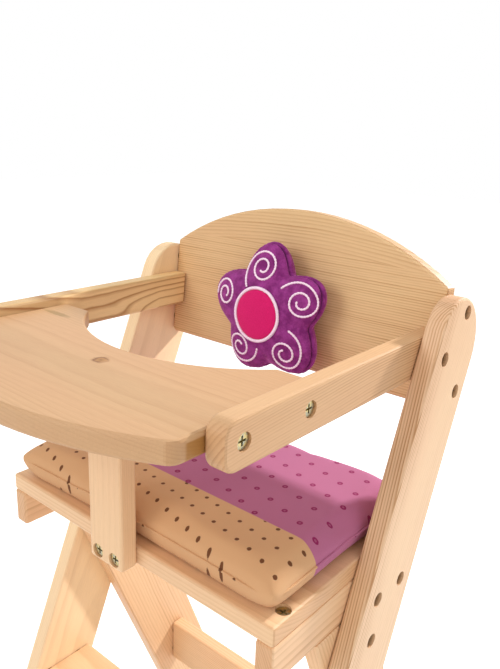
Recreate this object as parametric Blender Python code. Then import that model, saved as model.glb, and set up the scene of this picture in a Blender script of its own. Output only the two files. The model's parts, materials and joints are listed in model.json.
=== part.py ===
"""Doll high chair: two pine side frames with a tray, a seat, a backrest and two stuffed pads.

The chair faces -Y, +Z is up, and +X is on the right of someone who looks at its front.
Everything hangs from one empty. Inside it, y = 0 is the rear end of the arm rails and z = 0 the floor.
"""

import math

import bmesh
import bpy
from mathutils import Matrix, Vector


# Driving dimensions of the frame, in metres and radians

CONTACT_GAP = 0.0003
INNER_WIDTH = 0.240
ARM_TOP_HEIGHT = 0.470
BOARD = 0.012
EDGE_RADIUS = 0.0016
CUT_OVERRUN = 0.004

LEG_THICKNESS = 0.0125
LEG_WIDTH = 0.0566
LEG_LEAN = math.radians(22.3)
LEG_SETBACK = 0.0275
LEG_TOP_RISE = 0.033
LEG_TOP_PEAK = 0.026
LEG_FRONT_SHOULDER = 0.007
LEG_REAR_SHOULDER = -0.001
LEG_CROSS_DROP = 0.029

ARM_LENGTH = 0.2028
ARM_HEIGHT = 0.0254
ARM_END_RADIUS = 0.008
ARM_SCREW_INSET = 0.0183

BACK_LEAN = math.radians(5.0)
BACK_GAP = 0.001
BACK_BELOW_ARM = 0.0518
BACK_SIDE_RISE = 0.026
BACK_ARCH_RISE = 0.0365
BACK_CORNER_RADIUS = 0.004
BACK_SCREW_UPPER = 0.0125
BACK_SCREW_LOWER = 0.039

TRAY_DROP = 0.006
TRAY_REAR_SETBACK = 0.119
TRAY_NOSE_REACH = 0.2479
TRAY_FRONT_RADIUS = 0.220
TRAY_CORNER_RADIUS = 0.008
TRAY_CUT_HALF_WIDTH = 0.082
TRAY_CUT_DEPTH = 0.0378
TRAY_CUT_FILLET = 0.0025
TRAY_SCREW_REAR = 0.1405
TRAY_SCREW_SPACING = 0.0496

SEAT_DROP = 0.128
SEAT_FRONT_SETBACK = 0.1613
SEAT_REAR_SETBACK = 0.006
SEAT_SCREW_INSET = 0.016
SEAT_RAIL_SCREW_SPACING = 0.028

SLAT_WIDTH = 0.030
SLAT_SCREW_SPACING = 0.015
DOWEL_RADIUS = 0.003
DOWEL_IN_TRAY = 0.008
DOWEL_IN_SLAT = 0.012

FOOTREST_SHARE = 0.545
FOOTREST_DEPTH = 0.050
FOOTREST_SCREW_SPACING = 0.028
STRETCHER_SHARE = 0.4
STRETCHER_WIDTH = 0.040
STRETCHER_SCREW_SPACING = 0.020
LAP_SCREW_SPACING = 0.028


# Driving dimensions of the fastenings

HEAD_RADIUS = 0.0043
HEAD_RIM = 0.0006
HEAD_CONE = 0.0024
SHANK_RADIUS = 0.0019
TIP_LENGTH = 0.004
LONG_SCREW = 0.034
SHORT_SCREW = 0.0165
RECESS_REACH = 0.0025
RECESS_WIDTH = 0.0011
RECESS_DEPTH = 0.0016
COUNTERBORE_RADIUS = 0.0047
DEEP_COUNTERBORE = 0.005
SHALLOW_COUNTERBORE = 0.0014


# Driving dimensions of the soft pieces

CUSHION_WIDTH = 0.232
CUSHION_THICKNESS = 0.026
CUSHION_SEAM_HEIGHT = 0.010
CUSHION_EDGE_CLEARANCE = 0.002
CUSHION_REAR_SETBACK = 0.012
CUSHION_DRAW = 0.004

PILLOW_OFFSET = -0.0059
PILLOW_DROP = 0.0124
PILLOW_THICKNESS = 0.0300
PILLOW_SEAM_HEIGHT = 0.0135
PILLOW_RADIUS = 0.0522
PETAL_FULLNESS = 0.71
# Each petal's direction, then its tip and the valley after it as shares of the pillow's radius
PETAL_SHARES = (
    (math.radians(-113.9), 0.881, 0.699),
    (math.radians(-37.8), 1.0, 0.749),
    (math.radians(27.9), 0.994, 0.682),
    (math.radians(90.2), 0.985, 0.663),
    (math.radians(163.1), 0.958, 0.634),
)
PATCH_RADIUS = 0.0175
PATCH_THICKNESS = 0.0012
RING_RADIUS = 0.0190
RING_TUBE = 0.0010
TAPE_RADIUS = 0.015
TAPE_THICKNESS = 0.001


# Counts of facets

HOLE_SIDES = 16
SCREW_SIDES = 12
ARC_STEPS = 8
TRAY_STEPS = 20
CUSHION_CELLS = (20, 16)
PILLOW_SPOKES = 60
PILLOW_RINGS = 9
PATCH_SPOKES = 24
PATCH_RINGS = 3
RING_SECTION = 6


# Places that follow from the driving dimensions

HALF_WIDTH = INNER_WIDTH / 2
LEG_BREADTH = LEG_WIDTH / math.cos(LEG_LEAN)
ARM_OUTER_X = HALF_WIDTH - CONTACT_GAP
ARM_INNER_X = ARM_OUTER_X - BOARD
SEAT_TOP = ARM_TOP_HEIGHT - SEAT_DROP
SEAT_RAIL_TOP = SEAT_TOP - BOARD - CONTACT_GAP
SEAT_RAIL_BOTTOM = SEAT_RAIL_TOP - ARM_HEIGHT
REAR_LEG_TOP = SEAT_RAIL_BOTTOM - CONTACT_GAP
CROSS_HEIGHT = REAR_LEG_TOP - LEG_CROSS_DROP
FOOTREST_HEIGHT = CROSS_HEIGHT * FOOTREST_SHARE
STRETCHER_HEIGHT = CROSS_HEIGHT * STRETCHER_SHARE
TRAY_TOP = ARM_TOP_HEIGHT - TRAY_DROP
TRAY_BOTTOM = TRAY_TOP - BOARD
SLAT_REAR_Y = -SEAT_FRONT_SETBACK - CONTACT_GAP
SLAT_CENTRE_Y = SLAT_REAR_Y - BOARD / 2


def leg_centre_y(height):
    """Middle of the front leg's breadth at a height."""
    return -LEG_SETBACK - (ARM_TOP_HEIGHT - height) * math.tan(LEG_LEAN) + LEG_BREADTH / 2


def rear_leg_centre_y(height):
    """Middle of the rear leg's breadth at a height; the two centre lines cross under the seat."""
    return leg_centre_y(CROSS_HEIGHT) + (CROSS_HEIGHT - height) * math.tan(LEG_LEAN)


REAR_REACH = rear_leg_centre_y(0) + LEG_BREADTH / 2
CHAIR_SHIFT = (TRAY_NOSE_REACH - REAR_REACH) / 2

FLAT = (0, 0, 0)
SIDEWAYS = (math.pi / 2, 0, math.pi / 2)
UPRIGHT = (math.pi / 2 - BACK_LEAN, 0, 0)


# Scene, materials and objects

def clear_scene():
    """Remove every object that the scene holds."""
    for old in list(bpy.data.objects):
        bpy.data.objects.remove(old, do_unlink=True)


def make_material(name, colour, roughness, metallic=0.0):
    """A Principled material in one colour."""
    made = bpy.data.materials.new(name)
    made.use_nodes = True
    shader = made.node_tree.nodes["Principled BSDF"]
    shader.inputs["Base Color"].default_value = (*colour, 1.0)
    shader.inputs["Roughness"].default_value = roughness
    shader.inputs["Metallic"].default_value = metallic
    return made


def link_mesh(name, mesh, location=FLAT, rotation=FLAT):
    """Show a mesh as an object that hangs from the chair's empty."""
    made = bpy.data.objects.new(name, mesh)
    made.location = location
    made.rotation_euler = rotation
    made.parent = CHAIR
    bpy.context.scene.collection.objects.link(made)
    return made


def make_mesh(name, bm, material=None, smooth=False):
    """Turn a bmesh into a mesh with its faces outward."""
    bmesh.ops.recalc_face_normals(bm, faces=bm.faces)
    if bm.calc_volume(signed=True) < 0:
        bmesh.ops.reverse_faces(bm, faces=bm.faces)
    mesh = bpy.data.meshes.new(name)
    bm.to_mesh(mesh)
    bm.free()
    if smooth:
        mesh.shade_smooth()
        mesh.set_sharp_from_angle(angle=math.radians(40))
    if material is not None:
        mesh.materials.append(material)
    return mesh


def make_object(name, bm, material, location=FLAT, rotation=FLAT, smooth=False):
    """Turn a bmesh into an object that hangs from the chair's empty."""
    return link_mesh(name, make_mesh(name, bm, material, smooth), location, rotation)


def arc(centre, reach, start, end, steps=ARC_STEPS):
    """Points of an elliptical arc, its ends included."""
    points = []
    for index in range(steps + 1):
        angle = start + (end - start) * index / steps
        points.append((centre[0] + reach[0] * math.cos(angle), centre[1] + reach[1] * math.sin(angle)))
    return points


def prism(name, outline, thickness, material, location, rotation):
    """A board: an outline in its own XY plane, extruded along its own Z, with eased edges."""
    bm = bmesh.new()
    face = bm.faces.new([bm.verts.new((x, y, 0)) for x, y in outline])
    grown = bmesh.ops.extrude_face_region(bm, geom=[face])
    moved = [item for item in grown["geom"] if isinstance(item, bmesh.types.BMVert)]
    bmesh.ops.translate(bm, vec=(0, 0, thickness), verts=moved)
    made = make_object(name, bm, material, location, rotation)
    eased = made.modifiers.new("eased edges", "BEVEL")
    eased.width = EDGE_RADIUS
    eased.segments = 2
    eased.limit_method = "ANGLE"
    eased.angle_limit = math.radians(35)
    return made


def turned(profile, sides):
    """A bmesh turned about Z from a profile of (radius, height) that starts and ends on the axis."""
    bm = bmesh.new()
    verts = [bm.verts.new((radius, 0, height)) for radius, height in profile]
    edges = [bm.edges.new(pair) for pair in zip(verts, verts[1:])]
    bmesh.ops.spin(bm, geom=verts + edges, cent=(0, 0, 0), axis=(0, 0, 1), angle=math.tau,
                   steps=sides, use_merge=True)
    bmesh.ops.remove_doubles(bm, verts=bm.verts, dist=CONTACT_GAP / 10)
    return bm


def copies(mesh, places):
    """A bmesh that holds one copy of a mesh at each place."""
    bm = bmesh.new()
    for place in places:
        before = len(bm.verts)
        bm.from_mesh(mesh)
        bm.verts.ensure_lookup_table()
        bmesh.ops.transform(bm, matrix=place, verts=bm.verts[before:])
    return bm


def cut(target, cutter):
    """Take a cutter's shape out of an object."""
    removed = target.modifiers.new("cut by " + cutter.name, "BOOLEAN")
    removed.operation = "DIFFERENCE"
    removed.solver = "EXACT"
    removed.object = cutter


def make_cutter(name, bm):
    """A guide object that only cuts others."""
    made = make_object(name, bm, None)
    made.hide_render = True
    made.display_type = "WIRE"
    return made


# Screws and dowels

def cross_recess():
    """The cross-shaped recess of a screw head, reaching out past the head."""
    half = RECESS_WIDTH / 2
    reach = RECESS_REACH
    outline = [(half, half), (half, reach), (-half, reach), (-half, half), (-reach, half), (-reach, -half),
               (-half, -half), (-half, -reach), (half, -reach), (half, -half), (reach, -half), (reach, half)]
    bm = bmesh.new()
    face = bm.faces.new([bm.verts.new((x, y, -RECESS_DEPTH)) for x, y in outline])
    grown = bmesh.ops.extrude_face_region(bm, geom=[face])
    moved = [item for item in grown["geom"] if isinstance(item, bmesh.types.BMVert)]
    bmesh.ops.translate(bm, vec=(0, 0, RECESS_DEPTH + CUT_OVERRUN), verts=moved)
    return bm


def screw_places(points, outward, sunk):
    """Where the heads of sunk screws lie, with each screw's own +Z pointing out of the wood."""
    places = []
    for point, way in zip(points, outward):
        way = Vector(way)
        turn = way.to_track_quat("Z", "Y").to_matrix().to_4x4()
        places.append(Matrix.Translation(Vector(point) - way * sunk) @ turn)
    return places


def fasten(name, points, outward, sunk, length, boards):
    """Put sunk screws at points on the wood's surface, and bore the boards that they pass through."""
    places = screw_places(points, outward, sunk)
    neck = -HEAD_RIM - HEAD_CONE
    profile = [(0, 0), (HEAD_RADIUS, 0), (HEAD_RADIUS, -HEAD_RIM), (SHANK_RADIUS, neck),
               (SHANK_RADIUS, TIP_LENGTH - length), (0, -length)]
    screw = make_mesh(name, turned(profile, SCREW_SIDES), STEEL, smooth=True)
    recesses = make_cutter(name + "_recess_guide", copies(make_mesh("recess", cross_recess()), places))
    for number, place in enumerate(places, 1):
        made = link_mesh(name + "_" + str(number), screw, place.to_translation(), place.to_euler())
        cut(made, recesses)
    hole_radius = SHANK_RADIUS + CONTACT_GAP
    profile = [(0, sunk + CUT_OVERRUN), (COUNTERBORE_RADIUS, sunk + CUT_OVERRUN),
               (COUNTERBORE_RADIUS, -HEAD_RIM - CONTACT_GAP), (hole_radius, neck - CONTACT_GAP),
               (hole_radius, TIP_LENGTH - length - CONTACT_GAP), (0, -length - CONTACT_GAP)]
    bore = make_mesh("bore", turned(profile, HOLE_SIDES))
    bores = make_cutter(name + "_bore_guide", copies(bore, places))
    for board in boards:
        cut(board, bores)


def both_sides(places_yz, face_x):
    """Points on the two outer faces at +x and -x, with the directions out of the wood."""
    points = []
    outward = []
    for side in (1, -1):
        for y, z in places_yz:
            points.append((side * face_x, y, z))
            outward.append((side, 0, 0))
    return points, outward


# Frame pieces

def side_board(name, side, inner_x, thickness, outline):
    """A board that stands along the chair's side, its inner face at inner_x."""
    start = inner_x if side > 0 else -inner_x - thickness
    return prism(name, outline, thickness, PINE, (start, 0, 0), SIDEWAYS)


def leg_outline():
    """Front leg in (y, z): a leaning board with a level foot and a rounded top."""
    along_way = (math.sin(LEG_LEAN), math.cos(LEG_LEAN))
    across_way = (math.cos(LEG_LEAN), -math.sin(LEG_LEAN))
    front_foot = -ARM_TOP_HEIGHT / math.cos(LEG_LEAN)
    rear_foot = front_foot + LEG_WIDTH * math.tan(LEG_LEAN)
    quarter = math.pi / 2
    local = [(0, front_foot)]
    local += arc((LEG_TOP_PEAK, LEG_FRONT_SHOULDER), (LEG_TOP_PEAK, LEG_TOP_RISE - LEG_FRONT_SHOULDER),
                 2 * quarter, quarter)
    local += arc((LEG_TOP_PEAK, LEG_REAR_SHOULDER),
                 (LEG_WIDTH - LEG_TOP_PEAK, LEG_TOP_RISE - LEG_REAR_SHOULDER), quarter, 0)[1:]
    local.append((LEG_WIDTH, rear_foot))
    return [(across * across_way[0] + along * along_way[0] - LEG_SETBACK,
             across * across_way[1] + along * along_way[1] + ARM_TOP_HEIGHT) for across, along in local]


def rear_leg_outline():
    """Rear leg in (y, z), level at its foot and where it meets the seat rail."""
    half = LEG_BREADTH / 2
    foot = rear_leg_centre_y(0)
    top = rear_leg_centre_y(REAR_LEG_TOP)
    return [(foot - half, 0), (foot + half, 0), (top + half, REAR_LEG_TOP), (top - half, REAR_LEG_TOP)]


def arm_outline():
    """Arm rail in (y, z): its rear end is cut along the backrest and its front end is rounded."""
    top = ARM_TOP_HEIGHT
    bottom = top - ARM_HEIGHT
    radius = ARM_END_RADIUS
    front = -ARM_LENGTH + radius
    outline = [(0, top)]
    outline += arc((front, top - radius), (radius, radius), math.pi / 2, math.pi)
    outline += arc((front, bottom + radius), (radius, radius), math.pi, 1.5 * math.pi)
    outline.append((-ARM_HEIGHT * math.tan(BACK_LEAN), bottom))
    return outline


def seat_rail_outline():
    """Seat rail in (y, z), under the side of the seat board."""
    front = -SEAT_FRONT_SETBACK
    return [(front, SEAT_RAIL_BOTTOM), (-SEAT_REAR_SETBACK, SEAT_RAIL_BOTTOM),
            (-SEAT_REAR_SETBACK, SEAT_RAIL_TOP), (front, SEAT_RAIL_TOP)]


def mirrored(half_outline):
    """Close an outline whose right half is given from the front to the rear."""
    return half_outline + [(-x, y) for x, y in reversed(half_outline) if x != 0]


def tray_outline():
    """Tray in (x, y): a bowed nose, straight sides and a hollow for the doll at the rear."""
    half = ARM_INNER_X - CONTACT_GAP
    radius = TRAY_CORNER_RADIUS
    bow_centre = -TRAY_NOSE_REACH + TRAY_FRONT_RADIUS
    corner_x = half - radius
    corner_y = bow_centre - math.sqrt((TRAY_FRONT_RADIUS - radius) ** 2 - corner_x ** 2)
    corner_angle = math.atan2(corner_y - bow_centre, corner_x)
    outline = arc((0, bow_centre), (TRAY_FRONT_RADIUS, TRAY_FRONT_RADIUS), -math.pi / 2, corner_angle,
                  TRAY_STEPS // 2)
    outline += arc((corner_x, corner_y), (radius, radius), corner_angle, 0)[1:]
    outline.append((half, -TRAY_REAR_SETBACK))
    fillet = TRAY_CUT_FILLET
    cut_radius = (TRAY_CUT_HALF_WIDTH ** 2 + TRAY_CUT_DEPTH ** 2) / (2 * TRAY_CUT_DEPTH)
    cut_centre = -TRAY_REAR_SETBACK - TRAY_CUT_DEPTH + cut_radius
    fillet_y = -TRAY_REAR_SETBACK - fillet
    fillet_x = math.sqrt((cut_radius + fillet) ** 2 - (fillet_y - cut_centre) ** 2)
    meet = math.atan2(cut_centre - fillet_y, -fillet_x)
    outline += arc((fillet_x, fillet_y), (fillet, fillet), math.pi / 2, meet, ARC_STEPS // 2)
    start = meet - math.pi
    outline += arc((0, cut_centre), (cut_radius, cut_radius), start, -math.pi / 2, TRAY_STEPS // 2)[1:]
    outline[0] = (0, outline[0][1])
    outline[-1] = (0, outline[-1][1])
    return mirrored(outline)


def backrest_outline():
    """Backrest in (x, height along its face): straight sides under a flat arch."""
    half = HALF_WIDTH - CONTACT_GAP
    arch = (half ** 2 + BACK_ARCH_RISE ** 2) / (2 * BACK_ARCH_RISE)
    arch_centre = BACK_SIDE_RISE + BACK_ARCH_RISE - arch
    corner = math.asin(half / arch)
    radius = BACK_CORNER_RADIUS
    outline = [(0, -BACK_BELOW_ARM)]
    outline += arc((half - radius, radius - BACK_BELOW_ARM), (radius, radius), -math.pi / 2, 0, ARC_STEPS // 2)
    outline += arc((0, arch_centre), (arch, arch), math.pi / 2 - corner, math.pi / 2, TRAY_STEPS // 2)
    outline[-1] = (0, outline[-1][1])
    return mirrored(outline)


def rectangle(half_x, low_y, high_y):
    """A rectangle that is centred on x = 0."""
    return [(-half_x, low_y), (half_x, low_y), (half_x, high_y), (-half_x, high_y)]


def make_boards():
    """Every wooden piece, by name."""
    made = {}
    for side, word in ((1, "right"), (-1, "left")):
        made["front_leg_" + word] = side_board("front_leg_" + word, side, HALF_WIDTH, LEG_THICKNESS,
                                               leg_outline())
        made["rear_leg_" + word] = side_board("rear_leg_" + word, side,
                                              HALF_WIDTH - CONTACT_GAP - LEG_THICKNESS, LEG_THICKNESS,
                                              rear_leg_outline())
        made["arm_rail_" + word] = side_board("arm_rail_" + word, side, ARM_INNER_X, BOARD, arm_outline())
        made["seat_rail_" + word] = side_board("seat_rail_" + word, side, ARM_INNER_X, BOARD,
                                               seat_rail_outline())
    made["backrest"] = prism("backrest", backrest_outline(), -BOARD, PINE, (0, BACK_GAP, ARM_TOP_HEIGHT),
                             UPRIGHT)
    made["tray"] = prism("tray", tray_outline(), -BOARD, PINE, (0, 0, TRAY_TOP), FLAT)
    made["seat_board"] = prism("seat_board", rectangle(HALF_WIDTH - CONTACT_GAP, -SEAT_FRONT_SETBACK,
                                                       -SEAT_REAR_SETBACK), -BOARD, PINE,
                               (0, 0, SEAT_TOP), FLAT)
    slat_top = TRAY_BOTTOM - CONTACT_GAP
    made["crotch_slat"] = prism("crotch_slat", rectangle(SLAT_WIDTH / 2, SEAT_TOP - BOARD, slat_top), BOARD,
                                PINE, (0, SLAT_REAR_Y, 0), (math.pi / 2, 0, 0))
    footrest_y = leg_centre_y(FOOTREST_HEIGHT)
    made["footrest"] = prism("footrest", rectangle(HALF_WIDTH - CONTACT_GAP, -FOOTREST_DEPTH / 2,
                                                   FOOTREST_DEPTH / 2), BOARD, PINE,
                             (0, footrest_y, FOOTREST_HEIGHT - BOARD / 2), FLAT)
    stretcher_half = HALF_WIDTH - 2 * CONTACT_GAP - LEG_THICKNESS
    made["rear_stretcher"] = prism("rear_stretcher", rectangle(stretcher_half, -STRETCHER_WIDTH / 2,
                                                               STRETCHER_WIDTH / 2), BOARD, PINE,
                                   (0, rear_leg_centre_y(STRETCHER_HEIGHT) + BOARD / 2, STRETCHER_HEIGHT),
                                   (math.pi / 2, 0, 0))
    return made


def backrest_mid(rise):
    """Middle of the backrest's thickness in (y, z), at a height along its face."""
    half = BOARD / 2
    return (BACK_GAP + rise * math.sin(BACK_LEAN) + half * math.cos(BACK_LEAN),
            ARM_TOP_HEIGHT + rise * math.cos(BACK_LEAN) - half * math.sin(BACK_LEAN))


def make_fastenings(boards):
    """Every group of screws, and the dowel between the tray and the crotch slat."""
    legs = [boards["front_leg_right"], boards["front_leg_left"]]
    arms = [boards["arm_rail_right"], boards["arm_rail_left"]]
    rear_legs = [boards["rear_leg_right"], boards["rear_leg_left"]]
    seat_rails = [boards["seat_rail_right"], boards["seat_rail_left"]]
    leg_face = HALF_WIDTH + LEG_THICKNESS
    rear_leg_face = HALF_WIDTH - CONTACT_GAP

    tray_height = TRAY_TOP - BOARD / 2
    rear_row = -TRAY_SCREW_REAR
    spots = [(rear_row, tray_height), (rear_row - TRAY_SCREW_SPACING, tray_height)]
    fasten("tray_screw", *both_sides(spots, ARM_OUTER_X), SHALLOW_COUNTERBORE, LONG_SCREW,
           arms + [boards["tray"]])

    spots = [(-ARM_SCREW_INSET, ARM_TOP_HEIGHT - ARM_HEIGHT / 2)]
    fasten("arm_rail_screw", *both_sides(spots, leg_face), DEEP_COUNTERBORE, SHORT_SCREW, legs + arms)

    spots = [backrest_mid(BACK_SCREW_UPPER), backrest_mid(-BACK_SCREW_LOWER)]
    fasten("backrest_screw", *both_sides(spots, leg_face), DEEP_COUNTERBORE, LONG_SCREW,
           legs + [boards["backrest"]])

    height = (SEAT_RAIL_TOP + SEAT_RAIL_BOTTOM) / 2
    middle = leg_centre_y(height)
    half = SEAT_RAIL_SCREW_SPACING / 2
    fasten("seat_rail_screw", *both_sides([(middle - half, height), (middle + half, height)], leg_face),
           DEEP_COUNTERBORE, SHORT_SCREW, legs + seat_rails)

    half = LAP_SCREW_SPACING / 2
    middle = leg_centre_y(CROSS_HEIGHT)
    fasten("rear_leg_screw", *both_sides([(middle, CROSS_HEIGHT - half), (middle, CROSS_HEIGHT + half)],
                                          leg_face), DEEP_COUNTERBORE, SHORT_SCREW, legs + rear_legs)

    half = FOOTREST_SCREW_SPACING / 2
    middle = leg_centre_y(FOOTREST_HEIGHT)
    fasten("footrest_screw", *both_sides([(middle - half, FOOTREST_HEIGHT), (middle + half, FOOTREST_HEIGHT)],
                                          leg_face), DEEP_COUNTERBORE, LONG_SCREW,
           legs + [boards["footrest"]])

    half = STRETCHER_SCREW_SPACING / 2
    middle = rear_leg_centre_y(STRETCHER_HEIGHT)
    fasten("stretcher_screw", *both_sides([(middle, STRETCHER_HEIGHT - half),
                                            (middle, STRETCHER_HEIGHT + half)], rear_leg_face),
           DEEP_COUNTERBORE, LONG_SCREW, rear_legs + [boards["rear_stretcher"]])

    half = SLAT_SCREW_SPACING / 2
    front = SLAT_REAR_Y - BOARD
    height = SEAT_TOP - BOARD / 2
    fasten("slat_screw", [(-half, front, height), (half, front, height)], [(0, -1, 0)] * 2,
           SHALLOW_COUNTERBORE, LONG_SCREW, [boards["crotch_slat"], boards["seat_board"]])

    rail_middle = (ARM_OUTER_X + ARM_INNER_X) / 2
    rows = (-SEAT_FRONT_SETBACK + SEAT_SCREW_INSET, -SEAT_REAR_SETBACK - SEAT_SCREW_INSET)
    points = [(side * rail_middle, row, SEAT_TOP) for side in (1, -1) for row in rows]
    fasten("seat_board_screw", points, [(0, 0, 1)] * len(points), SHALLOW_COUNTERBORE,
           LONG_SCREW - SHALLOW_COUNTERBORE, [boards["seat_board"]] + seat_rails)

    slat_top = TRAY_BOTTOM - CONTACT_GAP
    low = slat_top - DOWEL_IN_SLAT + CONTACT_GAP
    high = TRAY_BOTTOM + DOWEL_IN_TRAY - CONTACT_GAP
    place = (0, SLAT_CENTRE_Y, 0)
    dowel = turned([(0, high), (DOWEL_RADIUS, high), (DOWEL_RADIUS, low), (0, low)], SCREW_SIDES)
    make_object("slat_dowel", dowel, BEECH, place, smooth=True)
    loose = DOWEL_RADIUS + CONTACT_GAP
    low -= CONTACT_GAP
    high += CONTACT_GAP
    bore = turned([(0, high), (loose, high), (loose, low), (0, low)], HOLE_SIDES)
    guide = make_cutter("slat_dowel_guide", bore)
    guide.location = place
    cut(boards["tray"], guide)
    cut(boards["crotch_slat"], guide)


# Soft pieces

def shell_of_grids(lower, upper):
    """A closed mesh from two grids of points that share their outer edge."""
    bm = bmesh.new()
    for grid in (lower, upper):
        verts = [[bm.verts.new(point) for point in row] for row in grid]
        for row, following in zip(verts, verts[1:]):
            for index in range(len(row) - 1):
                bm.faces.new((row[index], row[index + 1], following[index + 1], following[index]))
    bmesh.ops.remove_doubles(bm, verts=bm.verts, dist=CONTACT_GAP / 10)
    return bm


def cushion_point(s, t, top):
    """A point of the seat cushion, for s and t from -1 to 1 across it."""
    half_x = CUSHION_WIDTH / 2
    half_y = CUSHION_DEPTH / 2
    x = s * (half_x - CUSHION_DRAW * (1 - t * t))
    y = t * (half_y - CUSHION_DRAW * (1 - s * s))
    swell = max(0.0, (1 - s ** 4) * (1 - t ** 4)) ** 0.5
    if top:
        return (x, y, CUSHION_SEAM_HEIGHT + (CUSHION_THICKNESS - CUSHION_SEAM_HEIGHT) * swell)
    return (x, y, CUSHION_SEAM_HEIGHT * (1 - min(1.0, 2 * swell)))


def even_steps(count):
    """Values from -1 to 1 that crowd towards both ends."""
    return [-math.cos(math.pi * index / count) for index in range(count + 1)]


CUSHION_FRONT_Y = -SEAT_FRONT_SETBACK + CUSHION_EDGE_CLEARANCE
CUSHION_DEPTH = -CUSHION_REAR_SETBACK - CUSHION_FRONT_Y


def make_seat_cushion():
    """Seat cushion: a crowned pad that lies loose on the seat board."""
    across = even_steps(CUSHION_CELLS[0])
    along = even_steps(CUSHION_CELLS[1])
    grids = [[[cushion_point(s, t, top) for s in across] for t in along] for top in (False, True)]
    middle_y = CUSHION_FRONT_Y + CUSHION_DEPTH / 2
    make_object("seat_cushion", shell_of_grids(*grids), PINK_CLOTH,
                (0, middle_y, SEAT_TOP + CONTACT_GAP), smooth=True)


def pillow_reach(angle):
    """Distance from the pillow's centre to its seam in a direction: petals that run softly into valleys."""
    for index, (tip_angle, tip, valley) in enumerate(PETAL_SHARES):
        next_angle, next_tip, _ = PETAL_SHARES[(index + 1) % len(PETAL_SHARES)]
        share = ((angle - tip_angle) % math.tau) / ((next_angle - tip_angle) % math.tau)
        if share <= 1:
            swell = ((1 + math.cos(math.tau * share)) / 2) ** PETAL_FULLNESS
            nearer = tip if share < 0.5 else next_tip
            return PILLOW_RADIUS * (valley + (nearer - valley) * swell)
    return 0.0


def pillow_front(angle, radius):
    """Height of the pillow's front over its back plane."""
    share = min(1.0, radius / pillow_reach(angle))
    return PILLOW_SEAM_HEIGHT + (PILLOW_THICKNESS - PILLOW_SEAM_HEIGHT) * (1 - share ** 2.4) ** 0.6


def pillow_back(angle, radius):
    """Height of the pillow's back over its back plane: flat in the middle, rising to the seam."""
    share = min(1.0, radius / pillow_reach(angle))
    return PILLOW_SEAM_HEIGHT * (1 - (1 - share ** 5) ** 0.6)


def polar_shell(spokes, rings, reach, lower, upper):
    """A closed disc-like mesh between two heights that are functions of angle and radius."""
    bm = bmesh.new()
    shares = [math.sin(math.pi / 2 * index / rings) for index in range(1, rings + 1)]
    angles = [math.tau * index / spokes for index in range(spokes)]
    rims = []
    for height in (lower, upper):
        previous = [bm.verts.new((0, 0, height(0, 0)))]
        for share in shares:
            loop = []
            for angle in angles:
                radius = share * reach(angle)
                loop.append(bm.verts.new((radius * math.cos(angle), radius * math.sin(angle),
                                          height(angle, radius))))
            for index in range(spokes):
                after = (index + 1) % spokes
                if len(previous) == 1:
                    bm.faces.new((previous[0], loop[index], loop[after]))
                else:
                    bm.faces.new((previous[index], loop[index], loop[after], previous[after]))
            previous = loop
        rims.append(previous)
    bmesh.ops.remove_doubles(bm, verts=bm.verts, dist=CONTACT_GAP / 10)
    if rims[0][0].is_valid and rims[1][0].is_valid:
        for index in range(spokes):
            after = (index + 1) % spokes
            bm.faces.new((rims[0][index], rims[0][after], rims[1][after], rims[1][index]))
    return bm


def ring_tube():
    """The stitched ring round the centre patch, lying on the pillow's front."""
    bm = bmesh.new()
    loops = []
    for index in range(PILLOW_SPOKES):
        angle = math.tau * index / PILLOW_SPOKES
        height = pillow_front(angle, RING_RADIUS + RING_TUBE) + RING_TUBE + 2 * CONTACT_GAP
        loop = []
        for corner in range(RING_SECTION):
            turn = math.tau * corner / RING_SECTION
            radius = RING_RADIUS + RING_TUBE * math.cos(turn)
            loop.append(bm.verts.new((radius * math.cos(angle), radius * math.sin(angle),
                                      height + RING_TUBE * math.sin(turn))))
        loops.append(loop)
    for index, loop in enumerate(loops):
        following = loops[(index + 1) % len(loops)]
        for corner in range(RING_SECTION):
            after = (corner + 1) % RING_SECTION
            bm.faces.new((loop[corner], loop[after], following[after], following[corner]))
    return bm


def on_backrest(lift):
    """Where a piece on the backrest's face lies, lifted off it by a distance."""
    rise = -PILLOW_DROP
    return (PILLOW_OFFSET,
            BACK_GAP + rise * math.sin(BACK_LEAN) - lift * math.cos(BACK_LEAN),
            ARM_TOP_HEIGHT + rise * math.cos(BACK_LEAN) + lift * math.sin(BACK_LEAN))


def make_flower_pillow():
    """Flower pillow with its centre patch, and the fastening tape that holds it to the backrest."""
    profile = [(0, 0), (TAPE_RADIUS, 0), (TAPE_RADIUS, TAPE_THICKNESS), (0, TAPE_THICKNESS)]
    disc = make_mesh("tape", turned(profile, PATCH_SPOKES), TAPE)
    lift = CONTACT_GAP
    link_mesh("pillow_hook_tape", disc, on_backrest(lift), UPRIGHT)
    lift += TAPE_THICKNESS + CONTACT_GAP
    link_mesh("pillow_loop_tape", disc, on_backrest(lift), UPRIGHT)
    lift += TAPE_THICKNESS + CONTACT_GAP
    place = on_backrest(lift)
    body = polar_shell(PILLOW_SPOKES, PILLOW_RINGS, pillow_reach, pillow_back, pillow_front)
    make_object("flower_pillow", body, PURPLE_VELOUR, place, UPRIGHT, smooth=True)
    patch = polar_shell(PATCH_SPOKES, PATCH_RINGS, lambda angle: PATCH_RADIUS,
                        lambda angle, radius: pillow_front(angle, radius) + 2 * CONTACT_GAP,
                        lambda angle, radius: pillow_front(angle, radius) + PATCH_THICKNESS)
    make_object("centre_patch", patch, PINK_FELT, place, UPRIGHT, smooth=True)
    make_object("patch_ring", ring_tube(), WHITE_THREAD, place, UPRIGHT, smooth=True)


clear_scene()
CHAIR = bpy.data.objects.new("high_chair", None)
CHAIR.location = (0, CHAIR_SHIFT, 0)
bpy.context.scene.collection.objects.link(CHAIR)

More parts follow.
